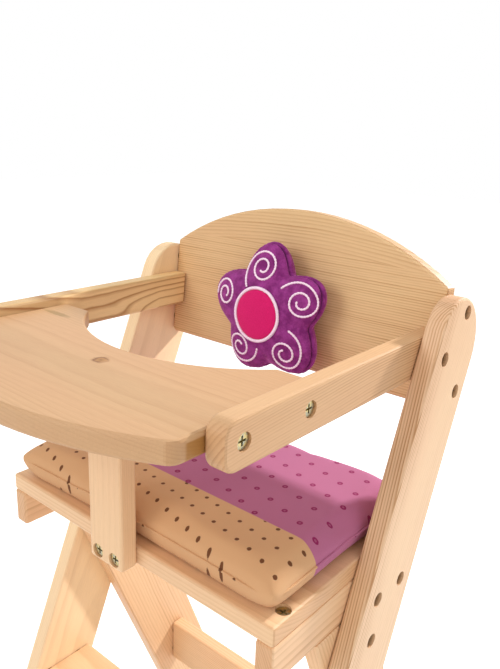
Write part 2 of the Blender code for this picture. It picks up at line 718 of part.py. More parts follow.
PINE = make_material("pine", (0.72, 0.44, 0.24), 0.45)
BEECH = make_material("beech", (0.62, 0.42, 0.26), 0.55)
STEEL = make_material("zinc_steel", (0.55, 0.48, 0.26), 0.35, 1.0)
PINK_CLOTH = make_material("pink_cloth", (0.66, 0.25, 0.38), 0.85)
PURPLE_VELOUR = make_material("purple_velour", (0.25, 0.035, 0.17), 0.9)
PINK_FELT = make_material("pink_felt", (0.64, 0.02, 0.14), 0.9)
WHITE_THREAD = make_material("white_thread", (0.86, 0.72, 0.82), 0.6)
TAPE = make_material("fastening_tape", (0.75, 0.75, 0.73), 0.8)

make_fastenings(make_boards())
make_seat_cushion()
make_flower_pillow()
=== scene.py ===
"""Looks of the doll high chair: pine, zinc plated screws, stitched pillow, printed cushion and studio."""
import json
import math

import bmesh
import bpy
from mathutils import Matrix, Vector, noise

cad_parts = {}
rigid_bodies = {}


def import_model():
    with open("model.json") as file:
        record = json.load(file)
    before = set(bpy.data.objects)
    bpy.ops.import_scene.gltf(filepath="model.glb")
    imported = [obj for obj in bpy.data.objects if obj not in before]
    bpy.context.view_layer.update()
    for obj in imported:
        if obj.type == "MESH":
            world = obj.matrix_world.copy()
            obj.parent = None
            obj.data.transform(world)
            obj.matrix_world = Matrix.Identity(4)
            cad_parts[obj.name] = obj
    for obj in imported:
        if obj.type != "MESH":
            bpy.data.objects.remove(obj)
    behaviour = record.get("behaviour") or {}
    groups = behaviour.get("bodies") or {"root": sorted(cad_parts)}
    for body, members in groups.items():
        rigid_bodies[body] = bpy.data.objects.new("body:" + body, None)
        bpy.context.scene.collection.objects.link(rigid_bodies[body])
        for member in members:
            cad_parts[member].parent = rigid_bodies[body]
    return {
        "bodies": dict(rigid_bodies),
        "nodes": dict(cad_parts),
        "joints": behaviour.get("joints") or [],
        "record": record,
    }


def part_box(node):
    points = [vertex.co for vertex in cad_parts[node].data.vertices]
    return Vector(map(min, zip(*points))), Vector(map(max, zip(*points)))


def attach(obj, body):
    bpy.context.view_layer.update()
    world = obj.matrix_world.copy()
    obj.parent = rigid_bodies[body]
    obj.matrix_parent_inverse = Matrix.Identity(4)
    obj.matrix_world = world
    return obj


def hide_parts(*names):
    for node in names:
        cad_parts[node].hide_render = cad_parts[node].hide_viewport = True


bl_info = {
    "name": "Doll High Chair Looks",
    "blender": (4, 5, 0),
    "version": (1, 0, 0),
    "location": "3D View > Sidebar > High Chair",
    "description": "Dresses the packed doll high chair and sets up its studio",
    "category": "Object",
}

MM = 0.001
ARM_TOP = 0.470
ARM_REAR = 0.090707
BACK_LEAN = math.radians(5.0)
LEG_LEAN = math.radians(22.3)
X_AXIS = Vector((1, 0, 0))
Y_AXIS = Vector((0, 1, 0))
Z_AXIS = Vector((0, 0, 1))
BACK_UP = Vector((0, math.sin(BACK_LEAN), math.cos(BACK_LEAN)))
BACK_OUT = Vector((0, -math.cos(BACK_LEAN), math.sin(BACK_LEAN)))
LEG_UP = Vector((0, math.sin(LEG_LEAN), math.cos(LEG_LEAN)))
LEG_ACROSS = Vector((0, math.cos(LEG_LEAN), -math.sin(LEG_LEAN)))
REAR_UP = Vector((0, -math.sin(LEG_LEAN), math.cos(LEG_LEAN)))
REAR_ACROSS = Vector((0, math.cos(LEG_LEAN), math.sin(LEG_LEAN)))
WHITE = (1.0, 1.0, 1.0)
# How far a face looks a given way, where a change starts and where it is full
END_FACE = (0.45, 0.95)
TOP_FACE = (0.4, 0.9)
INNER_FACE = (0.3, 0.8)
BROAD_FACE = (0.5, 0.9)


def srgb(red, green, blue):
    """A display colour, 0 to 255, as a linear colour."""
    def linear(value):
        value /= 255
        return value / 12.92 if value <= 0.04045 else ((value + 0.055) / 1.055) ** 2.4
    return (linear(red), linear(green), linear(blue))


# Node helpers

class Nodes:
    """Builds a node tree with plain calls; a value may be a number, a vector or another node's socket."""

    def __init__(self, tree):
        self.tree = tree

    def add(self, kind, **settings):
        node = self.tree.nodes.new(kind)
        for name, value in settings.items():
            setattr(node, name, value)
        return node

    def feed(self, socket, value):
        if isinstance(value, bpy.types.NodeSocket):
            self.tree.links.new(value, socket)
        elif value is not None:
            socket.default_value = value

    def fed(self, node, values):
        for socket, value in zip(node.inputs, values):
            self.feed(socket, value)
        return node

    def math(self, operation, *values, clamp=False):
        return self.fed(self.add("ShaderNodeMath", operation=operation, use_clamp=clamp), values).outputs[0]

    def plus(self, first, second, clamp=False):
        return self.math("ADD", first, second, clamp=clamp)

    def minus(self, first, second):
        return self.math("SUBTRACT", first, second)

    def times(self, first, second, clamp=False):
        return self.math("MULTIPLY", first, second, clamp=clamp)

    def times_plus(self, first, second, third):
        return self.math("MULTIPLY_ADD", first, second, third)

    def unsigned(self, value):
        return self.math("ABSOLUTE", value)

    def length(self, first, second):
        """Length of the long side over two short ones."""
        return self.math("SQRT", self.plus(self.times(first, first), self.times(second, second)))

    def vector(self, operation, *values):
        node = self.fed(self.add("ShaderNodeVectorMath", operation=operation), values)
        return node.outputs["Value" if operation in ("DOT_PRODUCT", "DISTANCE") else "Vector"]

    def dot(self, vector, way):
        return self.vector("DOT_PRODUCT", vector, tuple(way))

    def combine(self, x, y, z):
        return self.fed(self.add("ShaderNodeCombineXYZ"), (x, y, z)).outputs[0]

    def separate(self, vector):
        return self.fed(self.add("ShaderNodeSeparateXYZ"), (vector,)).outputs

    def noise(self, vector, scale, detail=2.0, roughness=0.5):
        node = self.add("ShaderNodeTexNoise")
        for name, value in (("Vector", vector), ("Scale", scale), ("Detail", detail),
                            ("Roughness", roughness)):
            self.feed(node.inputs[name], value)
        return node.outputs["Fac"]

    def spread(self, value, low, high, to_low=0.0, to_high=1.0, smooth=True):
        """A value between two marks, spread over another range."""
        node = self.add("ShaderNodeMapRange", interpolation_type="SMOOTHSTEP" if smooth else "LINEAR")
        for name, given in (("Value", value), ("From Min", low), ("From Max", high),
                            ("To Min", to_low), ("To Max", to_high)):
            self.feed(node.inputs[name], given)
        return node.outputs["Result"]

    def ramp(self, value, stops):
        node = self.add("ShaderNodeValToRGB")
        elements = node.color_ramp.elements
        for place, colour in stops[2:]:
            elements.new(place)
        for element, (place, colour) in zip(elements, stops):
            element.position = place
            element.color = (*colour, 1) if isinstance(colour, tuple) else (colour, colour, colour, 1)
        self.feed(node.inputs[0], value)
        return node.outputs[0]

    def mix(self, share, first, second, blend="MIX"):
        node = self.add("ShaderNodeMix", data_type="RGBA", blend_type=blend)
        self.feed(node.inputs[0], share)
        for socket, value in ((node.inputs[6], first), (node.inputs[7], second)):
            self.feed(socket, value if isinstance(value, bpy.types.NodeSocket) else (*value, 1))
        return node.outputs[2]

    def tinted(self, colour, tint):
        return self.mix(1.0, colour, tint, "MULTIPLY")

    def shaded(self, colour, shade):
        return self.tinted(colour, self.combine(shade, shade, shade))

    def bump(self, height, distance, strength):
        node = self.add("ShaderNodeBump")
        for name, value in (("Height", height), ("Distance", distance), ("Strength", strength)):
            self.feed(node.inputs[name], value)
        return node.outputs[0]

    def place(self, kind="Object"):
        return self.add("ShaderNodeTexCoord").outputs[kind]

    def place_in_mm(self):
        place = self.vector("SCALE", self.place())
        place.node.inputs["Scale"].default_value = 1 / MM
        return place


class Surface(Nodes):
    """A Principled material whose plain numbers are set on the shader itself."""

    def __init__(self, name, roughness, **numbers):
        self.material = bpy.data.materials.new(name)
        self.material.use_nodes = True
        super().__init__(self.material.node_tree)
        self.shader = self.tree.nodes["Principled BSDF"]
        self.shader.inputs["Roughness"].default_value = roughness
        for label, value in numbers.items():
            self.shader.inputs[label.replace("_", " ")].default_value = value

    def finished(self, colour, height, depth, strength):
        """The material, with its colour and its relief."""
        self.feed(self.shader.inputs["Base Color"], colour)
        self.feed(self.shader.inputs["Normal"], self.bump(height, depth, strength))
        return self.material


# Wood

# Tint of the tray's cut ends, lighter than plain wood: painted light
TRAY_END = (1.05, 1.0, 0.9)
# Bounds of marks, of painted shade and of painted light on single boards, in millimetres from the arm rails'
# rear top line
LEG_LINES = (-17.0, -6.0)
RAIL_FADE = (-150.0, -50.0)
FRONT_SHADE_START = (-117.0, -127.0)
FRONT_SHADE_EDGE = (-12.0, -8.0)
FRONT_SHADE_SHIFT_ON_TOP = -18.0
GLUE_LINE = (35.7, 36.1)
# Where the painted lit band on the tray's sides starts, and where their painted shade starts
TRAY_EDGE = (-9.4, -8.4)
TRAY_SIDE = (-214.5, -212.0)
TRAY_OUTSIDE = (99.0, 102.0)


def pine_group(settings):
    """Node group: growth rings round a pith that runs along the board, in millimetres."""
    tree = bpy.data.node_groups.new("pine_figure", "ShaderNodeTree")
    face = tree.interface
    face.new_socket("Place", in_out="INPUT", socket_type="NodeSocketVector")
    for name in ("Pith Across", "Pith Deep", "Drift", "Bend", "Spacing", "Wobble", "Contrast", "Seed"):
        face.new_socket(name, in_out="INPUT", socket_type="NodeSocketFloat")
    face.new_socket("Color", in_out="OUTPUT", socket_type="NodeSocketColor")
    face.new_socket("Height", in_out="OUTPUT", socket_type="NodeSocketFloat")
    nodes = Nodes(tree)
    given = nodes.add("NodeGroupInput").outputs
    along, across, deep = nodes.separate(given["Place"])
    seed = given["Seed"]

    def drawn_out(rates, shift, detail, roughness=0.5):
        """Noise drawn out along the board. Its rates are changes in a millimetre along and across."""
        place = nodes.combine(nodes.times_plus(along, rates[0], seed),
                              nodes.times_plus(across, rates[1], shift),
                              nodes.times_plus(deep, rates[1], seed))
        return nodes.noise(place, 1.0, detail, roughness)

    def wander(rates, shift, detail=1.5):
        """The same noise, from -1 to 1."""
        return nodes.times_plus(drawn_out(rates, shift, detail), 2.0, -1.0)

    # Distance from the pith, which drifts, bends and wobbles
    bend = nodes.times(nodes.times(along, along), given["Bend"])
    offset = nodes.plus(nodes.times_plus(along, given["Drift"], bend), given["Pith Across"])
    ring_across = nodes.times_plus(wander((0.009, 0.018), 3.0), given["Wobble"], nodes.minus(across, offset))
    ring_deep = nodes.times_plus(wander((0.007, 0.02), 11.0), given["Wobble"],
                                 nodes.minus(deep, given["Pith Deep"]))
    radius = nodes.length(ring_across, ring_deep)
    # Rings of uneven width, with a slightly ragged edge
    uneven = nodes.noise(nodes.combine(nodes.times_plus(radius, 0.11, seed), 0.0, 0.0), 1.0, 1.0)
    phase = nodes.times_plus(uneven, 1.6, nodes.math("DIVIDE", radius, given["Spacing"]))
    phase = nodes.times_plus(wander((0.03, 0.25), 7.0, 2.0), 0.10, phase)
    # Late wood darkens slowly and ends at once; each ring and each patch has its own strength
    late = nodes.ramp(nodes.math("FRACT", phase),
                      [(0.0, 0.0), (0.42, 0.06), (0.80, 0.85), (0.90, 1.0), (1.0, 0.0)])
    own = nodes.add("ShaderNodeTexWhiteNoise", noise_dimensions="1D")
    nodes.feed(own.inputs["W"], nodes.math("FLOOR", phase))
    weight = nodes.times_plus(own.outputs["Value"], 0.75, 0.45)
    patchy = nodes.spread(wander((0.012, 0.05), 17.0), -0.5, 0.6, 0.55, 1.15)
    late = nodes.times(nodes.times(late, weight), patchy)
    late = nodes.times(late, given["Contrast"], clamp=True)
    warmth = nodes.spread(wander((0.006, 0.02), 23.0, 2.0), -0.5, 0.5)
    colour = nodes.mix(late, nodes.mix(warmth, settings.pale, settings.rosy), settings.dark)
    fibre = drawn_out((0.10, 2.6), 5.0, 3.0, 0.6)
    colour = nodes.shaded(colour, nodes.spread(fibre, 0.25, 0.75, 0.93, 1.05, smooth=False))
    fleck = drawn_out((0.35, 4.5), 31.0, 1.0)
    colour = nodes.mix(nodes.spread(fleck, 0.72, 0.80, 0.0, 0.35), colour, settings.dark)
    out = nodes.add("NodeGroupOutput")
    nodes.feed(out.inputs["Color"], colour)
    nodes.feed(out.inputs["Height"], nodes.times_plus(fibre, 0.6, nodes.times(late, 0.7)))
    return tree


class Figure:
    """How the rings run in one board. Lengths are in millimetres from the arm rails' rear top line."""

    def __init__(self, along, across, pith, spacing, contrast, seed, drift=0.0, bend=0.0, wobble=2.0,
                 tint=WHITE):
        self.ways = (along, across, along.cross(across))
        self.tint = tint
        self.contrast = contrast
        self.values = {"Pith Across": pith[0], "Pith Deep": pith[1], "Drift": drift, "Bend": bend,
                       "Spacing": spacing, "Wobble": wobble, "Contrast": contrast, "Seed": seed}


def figures():
    """The figure of every board."""
    return {
        "backrest": Figure(X_AXIS, BACK_UP, pith=(-75.0, 18.0), spacing=1.7, contrast=0.85, wobble=1.6,
                           seed=3.1, tint=(0.92, 0.94, 0.84)),
        "tray": Figure(X_AXIS, Y_AXIS, pith=(-190.0, 62.0), spacing=1.9, contrast=0.20, drift=-0.02,
                       bend=0.0002, wobble=2.2, seed=8.3, tint=(0.715, 0.662, 0.598)),
        "arm_rail_right": Figure(Y_AXIS, Z_AXIS, pith=(-80.0, 180.0), spacing=1.3, contrast=0.62,
                                 bend=-0.00022, wobble=1.6, seed=5.7, tint=(0.785, 0.735, 0.67)),
        "arm_rail_left": Figure(Y_AXIS, Z_AXIS, pith=(-30.0, 105.0), spacing=1.6, contrast=0.30, drift=-0.01,
                                bend=-0.0002, wobble=2.0, seed=2.2, tint=(1.0, 1.06, 0.88)),
        "front_leg_right": Figure(LEG_UP, LEG_ACROSS, pith=(60.0, -40.0), spacing=1.3, contrast=1.2,
                                  drift=0.04, wobble=1.0, seed=12.4, tint=(0.94, 0.95, 0.98)),
        "front_leg_left": Figure(LEG_UP, LEG_ACROSS, pith=(30.0, -190.0), spacing=1.8, contrast=0.22,
                                 drift=0.02, wobble=1.6, seed=15.9, tint=(1.11, 1.25, 1.31)),
        "rear_leg_right": Figure(REAR_UP, REAR_ACROSS, pith=(20.0, 60.0), spacing=1.9, contrast=0.42,
                                 seed=17.0),
        "rear_leg_left": Figure(REAR_UP, REAR_ACROSS, pith=(60.0, -70.0), spacing=2.3, contrast=0.45,
                                seed=19.5),
        "seat_rail_right": Figure(Y_AXIS, Z_AXIS, pith=(-190.0, 20.0), spacing=1.8, contrast=0.45, seed=21.2),
        "seat_rail_left": Figure(Y_AXIS, Z_AXIS, pith=(-220.0, 20.0), spacing=2.2, contrast=0.45, seed=23.9),
        "seat_board": Figure(X_AXIS, Y_AXIS, pith=(-90.0, 60.0), spacing=2.5, contrast=0.35, seed=25.3),
        "crotch_slat": Figure(Z_AXIS, X_AXIS, pith=(60.0, 15.0), spacing=1.6, contrast=0.20, seed=27.8),
        "footrest": Figure(X_AXIS, Y_AXIS, pith=(-60.0, 350.0), spacing=1.9, contrast=0.5, seed=29.1),
        "rear_stretcher": Figure(X_AXIS, Z_AXIS, pith=(-300.0, 40.0), spacing=1.8, contrast=0.45, seed=31.4),
        "slat_dowel": Figure(Z_AXIS, X_AXIS, pith=(40.0, 15.0), spacing=1.0, contrast=0.2, seed=33.0),
    }


class Board:
    """One board while its material is made: its places in millimetres and the way its faces look."""

    def __init__(self, nodes, name, figure, group, settings):
        self.nodes = nodes
        self.name = name
        self.figure = figure
        self.group = group
        self.settings = settings
        moved = nodes.vector("SUBTRACT", nodes.place(), (0.0, ARM_REAR, ARM_TOP))
        self.along, self.across, self.deep = (nodes.dot(moved, way / MM) for way in figure.ways)
        self.place = nodes.combine(self.along, self.across, self.deep)
        self.end = nodes.unsigned(self.facing(figure.ways[0]))

    def facing(self, way):
        """1 where a face looks that way, 0 where it looks aside and -1 where it looks back."""
        return self.nodes.dot(self.nodes.place("Normal"), way)

    def rings(self, **changed):
        """Colour and height of the rings, with some of the figure's values changed."""
        use = self.nodes.add("ShaderNodeGroup", node_tree=self.group)
        self.nodes.feed(use.inputs["Place"], self.place)
        for name, value in self.figure.values.items():
            self.nodes.feed(use.inputs[name], changed.get(name.replace(" ", "_"), value))
        return use.outputs["Color"], use.outputs["Height"]

    def end_tint(self, tint):
        """A tint on the cut ends."""
        return self.nodes.mix(self.nodes.spread(self.end, *END_FACE), WHITE, tint)


def plain_wood(board):
    """Colour, height and tint of a board without marks of its own."""
    colour, height = board.rings()
    return colour, height, board.end_tint(board.settings.end_shade)


def right_leg_wood(board):
    """Close lines on the front strip of the right leg's side, and calm wood behind it."""
    calm = 0.2
    contrast = board.nodes.spread(board.across, *LEG_LINES, board.figure.contrast, calm)
    colour, height = board.rings(Contrast=contrast)
    return colour, height, board.end_tint(board.settings.end_shade)


def right_rail_wood(board):
    """Rings that fade towards the front and on the top, and a coarser figure on the cut end."""
    nodes = board.nodes
    contrast = nodes.times(nodes.spread(board.facing(Z_AXIS), *TOP_FACE, 1.0, 0.3),
                           nodes.spread(board.along, *RAIL_FADE, 0.42, 0.8))
    colour, height = board.rings(Contrast=contrast)
    end_colour = board.rings(Pith_Across=-61.0, Pith_Deep=195.0, Spacing=2.6, Contrast=0.8)[0]
    colour = nodes.mix(nodes.spread(board.end, 0.45, 0.8), colour, end_colour)
    return colour, height, board.end_tint(board.settings.rail_end)


def left_rail_wood(board):
    """Bold rings, and painted shade on the front part's top and inner face, where the lamp's light falls."""
    nodes = board.nodes
    contrast = nodes.spread(board.end, *BROAD_FACE, board.figure.contrast, 1.5)
    colour, height = board.rings(Contrast=contrast)
    colour = bold_rings(board, colour)
    inward = board.facing(X_AXIS)
    # Painted shade on the front part's top and inner face, where the lamp's light falls
    further_on_top = nodes.spread(inward, *INNER_FACE, FRONT_SHADE_SHIFT_ON_TOP, 0.0)
    front_painted_shade = nodes.times(nodes.spread(nodes.plus(board.along, further_on_top), *FRONT_SHADE_START),
                        nodes.spread(board.across, *FRONT_SHADE_EDGE))
    front_painted_shade = nodes.times(front_painted_shade, nodes.spread(nodes.math("MAXIMUM", board.facing(Z_AXIS), inward), 0.3, 0.7))
    front_painted_shade = nodes.times(front_painted_shade, nodes.spread(inward, *INNER_FACE, 0.62, 1.0))
    tint = nodes.tinted(board.end_tint(board.settings.rail_end),
                        nodes.mix(front_painted_shade, WHITE, board.settings.front_painted_shade))
    return colour, height, tint


def bold_rings(board, colour):
    """Six bold dark rings that sweep down towards the front of the left arm rail."""
    nodes = board.nodes
    sweep_start = -30.0
    dip_start = -106.0
    dip_edge = (-14.0, -9.0)
    ahead = nodes.math("MAXIMUM", nodes.times_plus(board.along, -1.0, sweep_start), 0.0)
    share = nodes.times(nodes.times(ahead, 0.0068),
                        nodes.times_plus(nodes.times(board.across, board.across), 0.0022, 1.0))
    share = nodes.math("SMOOTH_MIN", share, nodes.times_plus(board.across, -0.0065, 0.36), 0.12)
    level = nodes.times(board.across, nodes.minus(1.0, share))
    front = nodes.math("MAXIMUM", nodes.times_plus(board.along, -1.0, dip_start), 0.0)
    level = nodes.times_plus(nodes.times(front, -0.11), nodes.spread(board.across, *dip_edge), level)
    waver = nodes.noise(nodes.combine(nodes.times(board.along, 0.07), nodes.times(board.across, 0.2), 0.0),
                        1.0, 3.0)
    level = nodes.times_plus(waver, 0.9, nodes.plus(level, -0.45))
    depth = 27.0
    rings = ((-24.2, 0.9), (-17.0, 0.9), (-11.3, 0.85), (-7.4, 1.0), (-3.0, 0.85), (-0.6, 0.5))
    stops = [(0.0, 0.0)]
    for middle, weight in rings:
        share = 1 + (middle - 1.0) / depth
        stops += [(share - 0.055, 0.0), (share - 0.02, 0.55 * weight), (share, weight), (share + 0.02, 0.0)]
    lines = nodes.ramp(nodes.times_plus(level, 1 / depth, 1 - 1 / depth), stops)
    return nodes.mix(nodes.times(lines, 0.95), colour, board.settings.bold)


def backrest_wood(board):
    """Two glued boards, the upper one with wider rings, and darker edges and rear: painted shade against the
    lamp behind, which on the cut ends also stands for darker end grain.
    """
    nodes = board.nodes
    ahead = board.facing(BACK_OUT)
    rim = nodes.spread(nodes.unsigned(ahead), *BROAD_FACE, 1.2, 1.0)
    colour, height = board.rings(Contrast=nodes.times(rim, board.figure.contrast))
    upper_colour, upper_height = board.rings(Spacing=2.5, Contrast=nodes.times(rim, 0.62), Bend=-0.0006,
                                             Pith_Across=-40.0, Seed=40.2, Wobble=2.0)
    glue_line_bow = 0.00032
    arch = nodes.times_plus(nodes.times(board.along, board.along), glue_line_bow, board.across)
    above = nodes.spread(arch, *GLUE_LINE)
    # Painted shade on the edges and rear, where the lamp behind lights them; on the cut ends it also stands
    # for darker end grain
    tint = nodes.mix(nodes.spread(ahead, *BROAD_FACE), board.settings.rim, WHITE)
    return nodes.mix(above, colour, upper_colour), nodes.mix(above, height, upper_height), tint


def tray_wood(board):
    """The tray's top with its marks, painted shade on its sides and corners, and a painted lit band along the
    sides' upper edge.
    """
    nodes = board.nodes
    settings = board.settings
    colour, height = board.rings()
    # Painted shade on the corners, darker painted shade on the sides, and a painted lit band along the sides'
    # upper edge
    corner = nodes.mix(nodes.spread(board.end, 0.50, 0.56), WHITE, settings.tray_corner_painted_shade)
    side = nodes.mix(nodes.spread(board.deep, *TRAY_EDGE), settings.tray_side_painted_shade, settings.tray_edge_painted_light)
    painted = nodes.mix(nodes.spread(board.across, *TRAY_SIDE), corner, side)
    outer = nodes.spread(nodes.unsigned(board.along), *TRAY_OUTSIDE)
    return tray_marks(board, colour), height, nodes.mix(outer, board.end_tint(TRAY_END), painted)


def tray_marks(board, colour):
    """A plain darker middle, a small knot and a resin streak in the tray's top."""
    nodes = board.nodes

    def oval(middle, reach):
        """1 on a ragged oval, less inside it and more outside."""
        parts = [nodes.math("DIVIDE", nodes.minus(value, mid), half)
                 for value, mid, half in zip((board.along, board.across), middle, reach)]
        ragged = nodes.noise(board.place, 0.35, 2.0)
        return nodes.times_plus(ragged, 0.7, nodes.plus(nodes.length(*parts), -0.35))
    knot = oval(middle=(5.9, -177.5), reach=(5.0, 4.6))
    shade = nodes.ramp(knot, [(0.0, srgb(150, 100, 50)), (0.40, srgb(196, 146, 84)),
                              (0.62, srgb(176, 122, 66)), (0.85, srgb(126, 78, 36)),
                              (1.0, srgb(190, 140, 90))])
    shade = nodes.mix(nodes.spread(board.along, 6.5, 10.5, 0.0, 0.75), shade, srgb(224, 176, 126))
    colour = nodes.mix(nodes.spread(knot, 0.85, 1.25, 0.85, 0.0), colour, shade)
    darker_line = -196.0
    darker = (0.93, 0.93, 0.92)
    from_line = nodes.unsigned(nodes.plus(board.across, -darker_line))
    tone = nodes.mix(nodes.spread(from_line, 4.0, 26.0, 1.0, 0.0), WHITE, darker)
    streak = oval(middle=(-89.0, -139.5), reach=(14.5, 3.2))
    return nodes.mix(nodes.spread(streak, 0.5, 1.2, 0.72, 0.0), nodes.tinted(colour, tone),
                     board.settings.streak)


def shaded_pockets(board, colour):
    """Painted shade inside the screw pockets of a leg."""
    nodes = board.nodes
    low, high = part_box(board.name)
    side = 1 if low[0] > 0 else -1
    face = max(abs(low[0]), abs(high[0]))
    x, y, z = nodes.separate(nodes.place())
    deepest_head = 11.0 * MM
    pocket_edge = (5.7 * MM, 5.3 * MM)
    pocket_depth = (0.3 * MM, 4.0 * MM)
    near = None
    for screw in FRAME["nodes"]:
        if "_screw_" not in screw:
            continue
        start, end = (Vector(corner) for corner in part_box(screw))
        middle = (start + end) / 2
        head = max(start.x * side, end.x * side)
        if (end - start).x > (end - start).y and face - deepest_head < head < face:
            off = nodes.vector("DISTANCE", nodes.combine(0.0, y, z), (0.0, middle.y, middle.z))
            near = nodes.math("MINIMUM", near, off) if near else off
    if near is None:
        return colour
    depth = nodes.minus(face, nodes.times(x, side))
    # Painted shade in the screw pockets, deeper towards each pocket's bottom
    dark = nodes.times(nodes.spread(near, *pocket_edge), nodes.spread(depth, *pocket_depth))
    return nodes.tinted(colour, nodes.mix(dark, WHITE, board.settings.pocket))


OWN_WOOD = {"front_leg_right": right_leg_wood, "arm_rail_right": right_rail_wood,
            "arm_rail_left": left_rail_wood, "backrest": backrest_wood, "tray": tray_wood}


def pine_material(name, figure, group, settings):
    """The varnished pine of one board."""
    pine = Surface("pine_" + name, settings.roughness, Coat_Weight=0.08, Coat_Roughness=0.25,
                   Specular_IOR_Level=0.26)
    board = Board(pine, name, figure, group, settings)
    colour, height, tint = OWN_WOOD.get(name, plain_wood)(board)
    colour = pine.tinted(pine.tinted(colour, figure.tint), tint)
    if "leg" in name:
        colour = shaded_pockets(board, colour)
    return pine.finished(colour, height, settings.relief, 0.5)


# Metal

def zinc_material(settings):
    """Zinc plated steel with a yellow passivation, worn to grey in patches."""
    zinc = Surface("zinc_plated", settings.roughness, Metallic=1.0)
    place = zinc.place_in_mm()
    cloud = zinc.noise(place, scale=0.5, detail=3.0)
    colour = zinc.mix(zinc.spread(cloud, 0.35, 0.65), settings.yellow, settings.grey)
    return zinc.finished(colour, zinc.noise(place, scale=4.0, detail=3.0), 0.05 * MM, 0.4)


# Cloth

def velour_material(form, settings):
    """Short purple pile with brushed patches, and painted shade in the drawn-in seam."""
    velour = Surface("purple_pile", 0.95, Sheen_Weight=0.75, Sheen_Roughness=0.4, Specular_IOR_Level=0.15)
    velour.shader.inputs["Sheen Tint"].default_value = (*settings.sheen, 1)
    place = velour.place_in_mm()
    brushed = velour.noise(place, scale=0.16, detail=3.0, roughness=0.6)
    pile = velour.noise(place, scale=2.2, detail=2.0, roughness=0.7)
    colour = velour.mix(velour.spread(brushed, 0.3, 0.7), settings.pile_dark, settings.pile_light)
    colour = velour.shaded(colour, velour.spread(pile, 0.25, 0.75, 0.72, 1.25, smooth=False))
    lift = velour.dot(velour.vector("SUBTRACT", velour.place(), tuple(form.centre)), BACK_OUT / MM)
    off_seam = velour.unsigned(velour.minus(lift, form.seam / MM))
    # Painted shade along the drawn-in seam
    colour = velour.mix(velour.spread(off_seam, 0.3, 1.1, 0.8, 0.0), colour, settings.seam_painted_shade)
    return velour.finished(colour, pile, 0.35 * MM, 0.7)


def felt_material(settings):
    """Pink felt with a fine ribbed press."""
    felt = Surface("pink_disc", 0.9, Sheen_Weight=0.2, Sheen_Roughness=0.5, Specular_IOR_Level=0.15)
    place = felt.place_in_mm()
    rib_pitch = 0.9
    ribs = felt.math("SINE", felt.times(felt.separate(place)[0], math.tau / rib_pitch))
    fuzz = felt.noise(place, scale=1.8, detail=3.0, roughness=0.7)
    colour = felt.mix(felt.spread(fuzz, 0.3, 0.7), settings.disc_dark, settings.disc_light)
    return felt.finished(colour, felt.times_plus(ribs, 0.15, fuzz), 0.2 * MM, 0.6)


def thread_material(settings):
    """Pale embroidery thread."""
    floss = Surface("pale_thread", 0.7, Sheen_Weight=0.15, Specular_IOR_Level=0.3)
    fuzz = floss.noise(floss.place_in_mm(), scale=3.0, detail=2.0)
    colour = floss.mix(floss.spread(fuzz, 0.3, 0.7), settings.thread_dark, settings.thread_light)
    return floss.finished(colour, fuzz, 0.15 * MM, 0.5)


def tape_material():
    """Fastening tape with its close hooks."""
    tape = Surface("hook_tape", 0.85)
    hooks = tape.add("ShaderNodeTexVoronoi")
    tape.feed(hooks.inputs["Vector"], tape.place_in_mm())
    tape.feed(hooks.inputs["Scale"], 1.4)
    away = hooks.outputs["Distance"]
    return tape.finished(tape.ramp(away, [(0.0, 0.78), (0.7, 0.5)]), away, 0.4 * MM, 0.6)


def print_material(settings):
    """Printed cotton: rings in a slanting lattice on pink, with a dotted apricot band along the front."""
    cotton = Surface("dotted_cotton", 0.85, Sheen_Weight=0.08, Specular_IOR_Level=0.2)
    moved = cotton.separate(cotton.vector("SUBTRACT", cotton.place(), (0.0, ARM_REAR, 0.0)))
    x = cotton.times(moved[0], 1 / MM)
    y = cotton.times(moved[1], 1 / MM)

    def from_mark(start, first, second):
        """Distance from the nearest mark of a slanting lattice."""
        area = first[0] * second[1] - first[1] * second[0]
        side_x = cotton.minus(x, start[0])
        side_y = cotton.minus(y, start[1])
        steps = []
        for way in ((second[1], -second[0]), (-first[1], first[0])):
            count = cotton.plus(cotton.times(side_x, way[0] / area), cotton.times(side_y, way[1] / area))
            steps.append(cotton.minus(count, cotton.math("ROUND", count)))
        offs = [cotton.plus(cotton.times(steps[0], first[axis]), cotton.times(steps[1], second[axis]))
                for axis in (0, 1)]
        return cotton.length(*offs)
    behind_band = cotton.spread(y, settings.band_edge[0], settings.band_edge[1])
    pink = from_mark(settings.lattice_start, settings.lattice_first, settings.lattice_second)
    front = from_mark(settings.band_start, settings.band_first, settings.band_second)
    distance = cotton.spread(behind_band, 0.0, 1.0, front, pink, smooth=False)
    fray = cotton.noise(cotton.place_in_mm(), scale=1.2, detail=2.0)
    frayed = cotton.plus(cotton.times_plus(fray, 0.5, distance), -0.25)
    ground = cotton.mix(behind_band, settings.band, settings.cotton)
    ring = cotton.mix(behind_band, settings.band_ring, settings.ring)
    edge = cotton.times_plus(behind_band, 0.6, 1.5)
    colour = cotton.mix(cotton.spread(frayed, cotton.plus(edge, -0.35), edge), ring, ground)
    hollow = cotton.spread(frayed, 0.6, 0.95, cotton.times(behind_band, 0.45), 0.0)
    colour = cotton.mix(hollow, colour, ground)
    yarn_pitch = 0.55
    weave = cotton.times(cotton.math("SINE", cotton.times(x, math.tau / yarn_pitch)),
                         cotton.math("SINE", cotton.times(y, math.tau / yarn_pitch)))
    colour = cotton.shaded(colour, cotton.spread(weave, -1.0, 1.0, 0.95, 1.04, smooth=False))
    return cotton.finished(colour, weave, 0.1 * MM, 0.5)


# Meshes

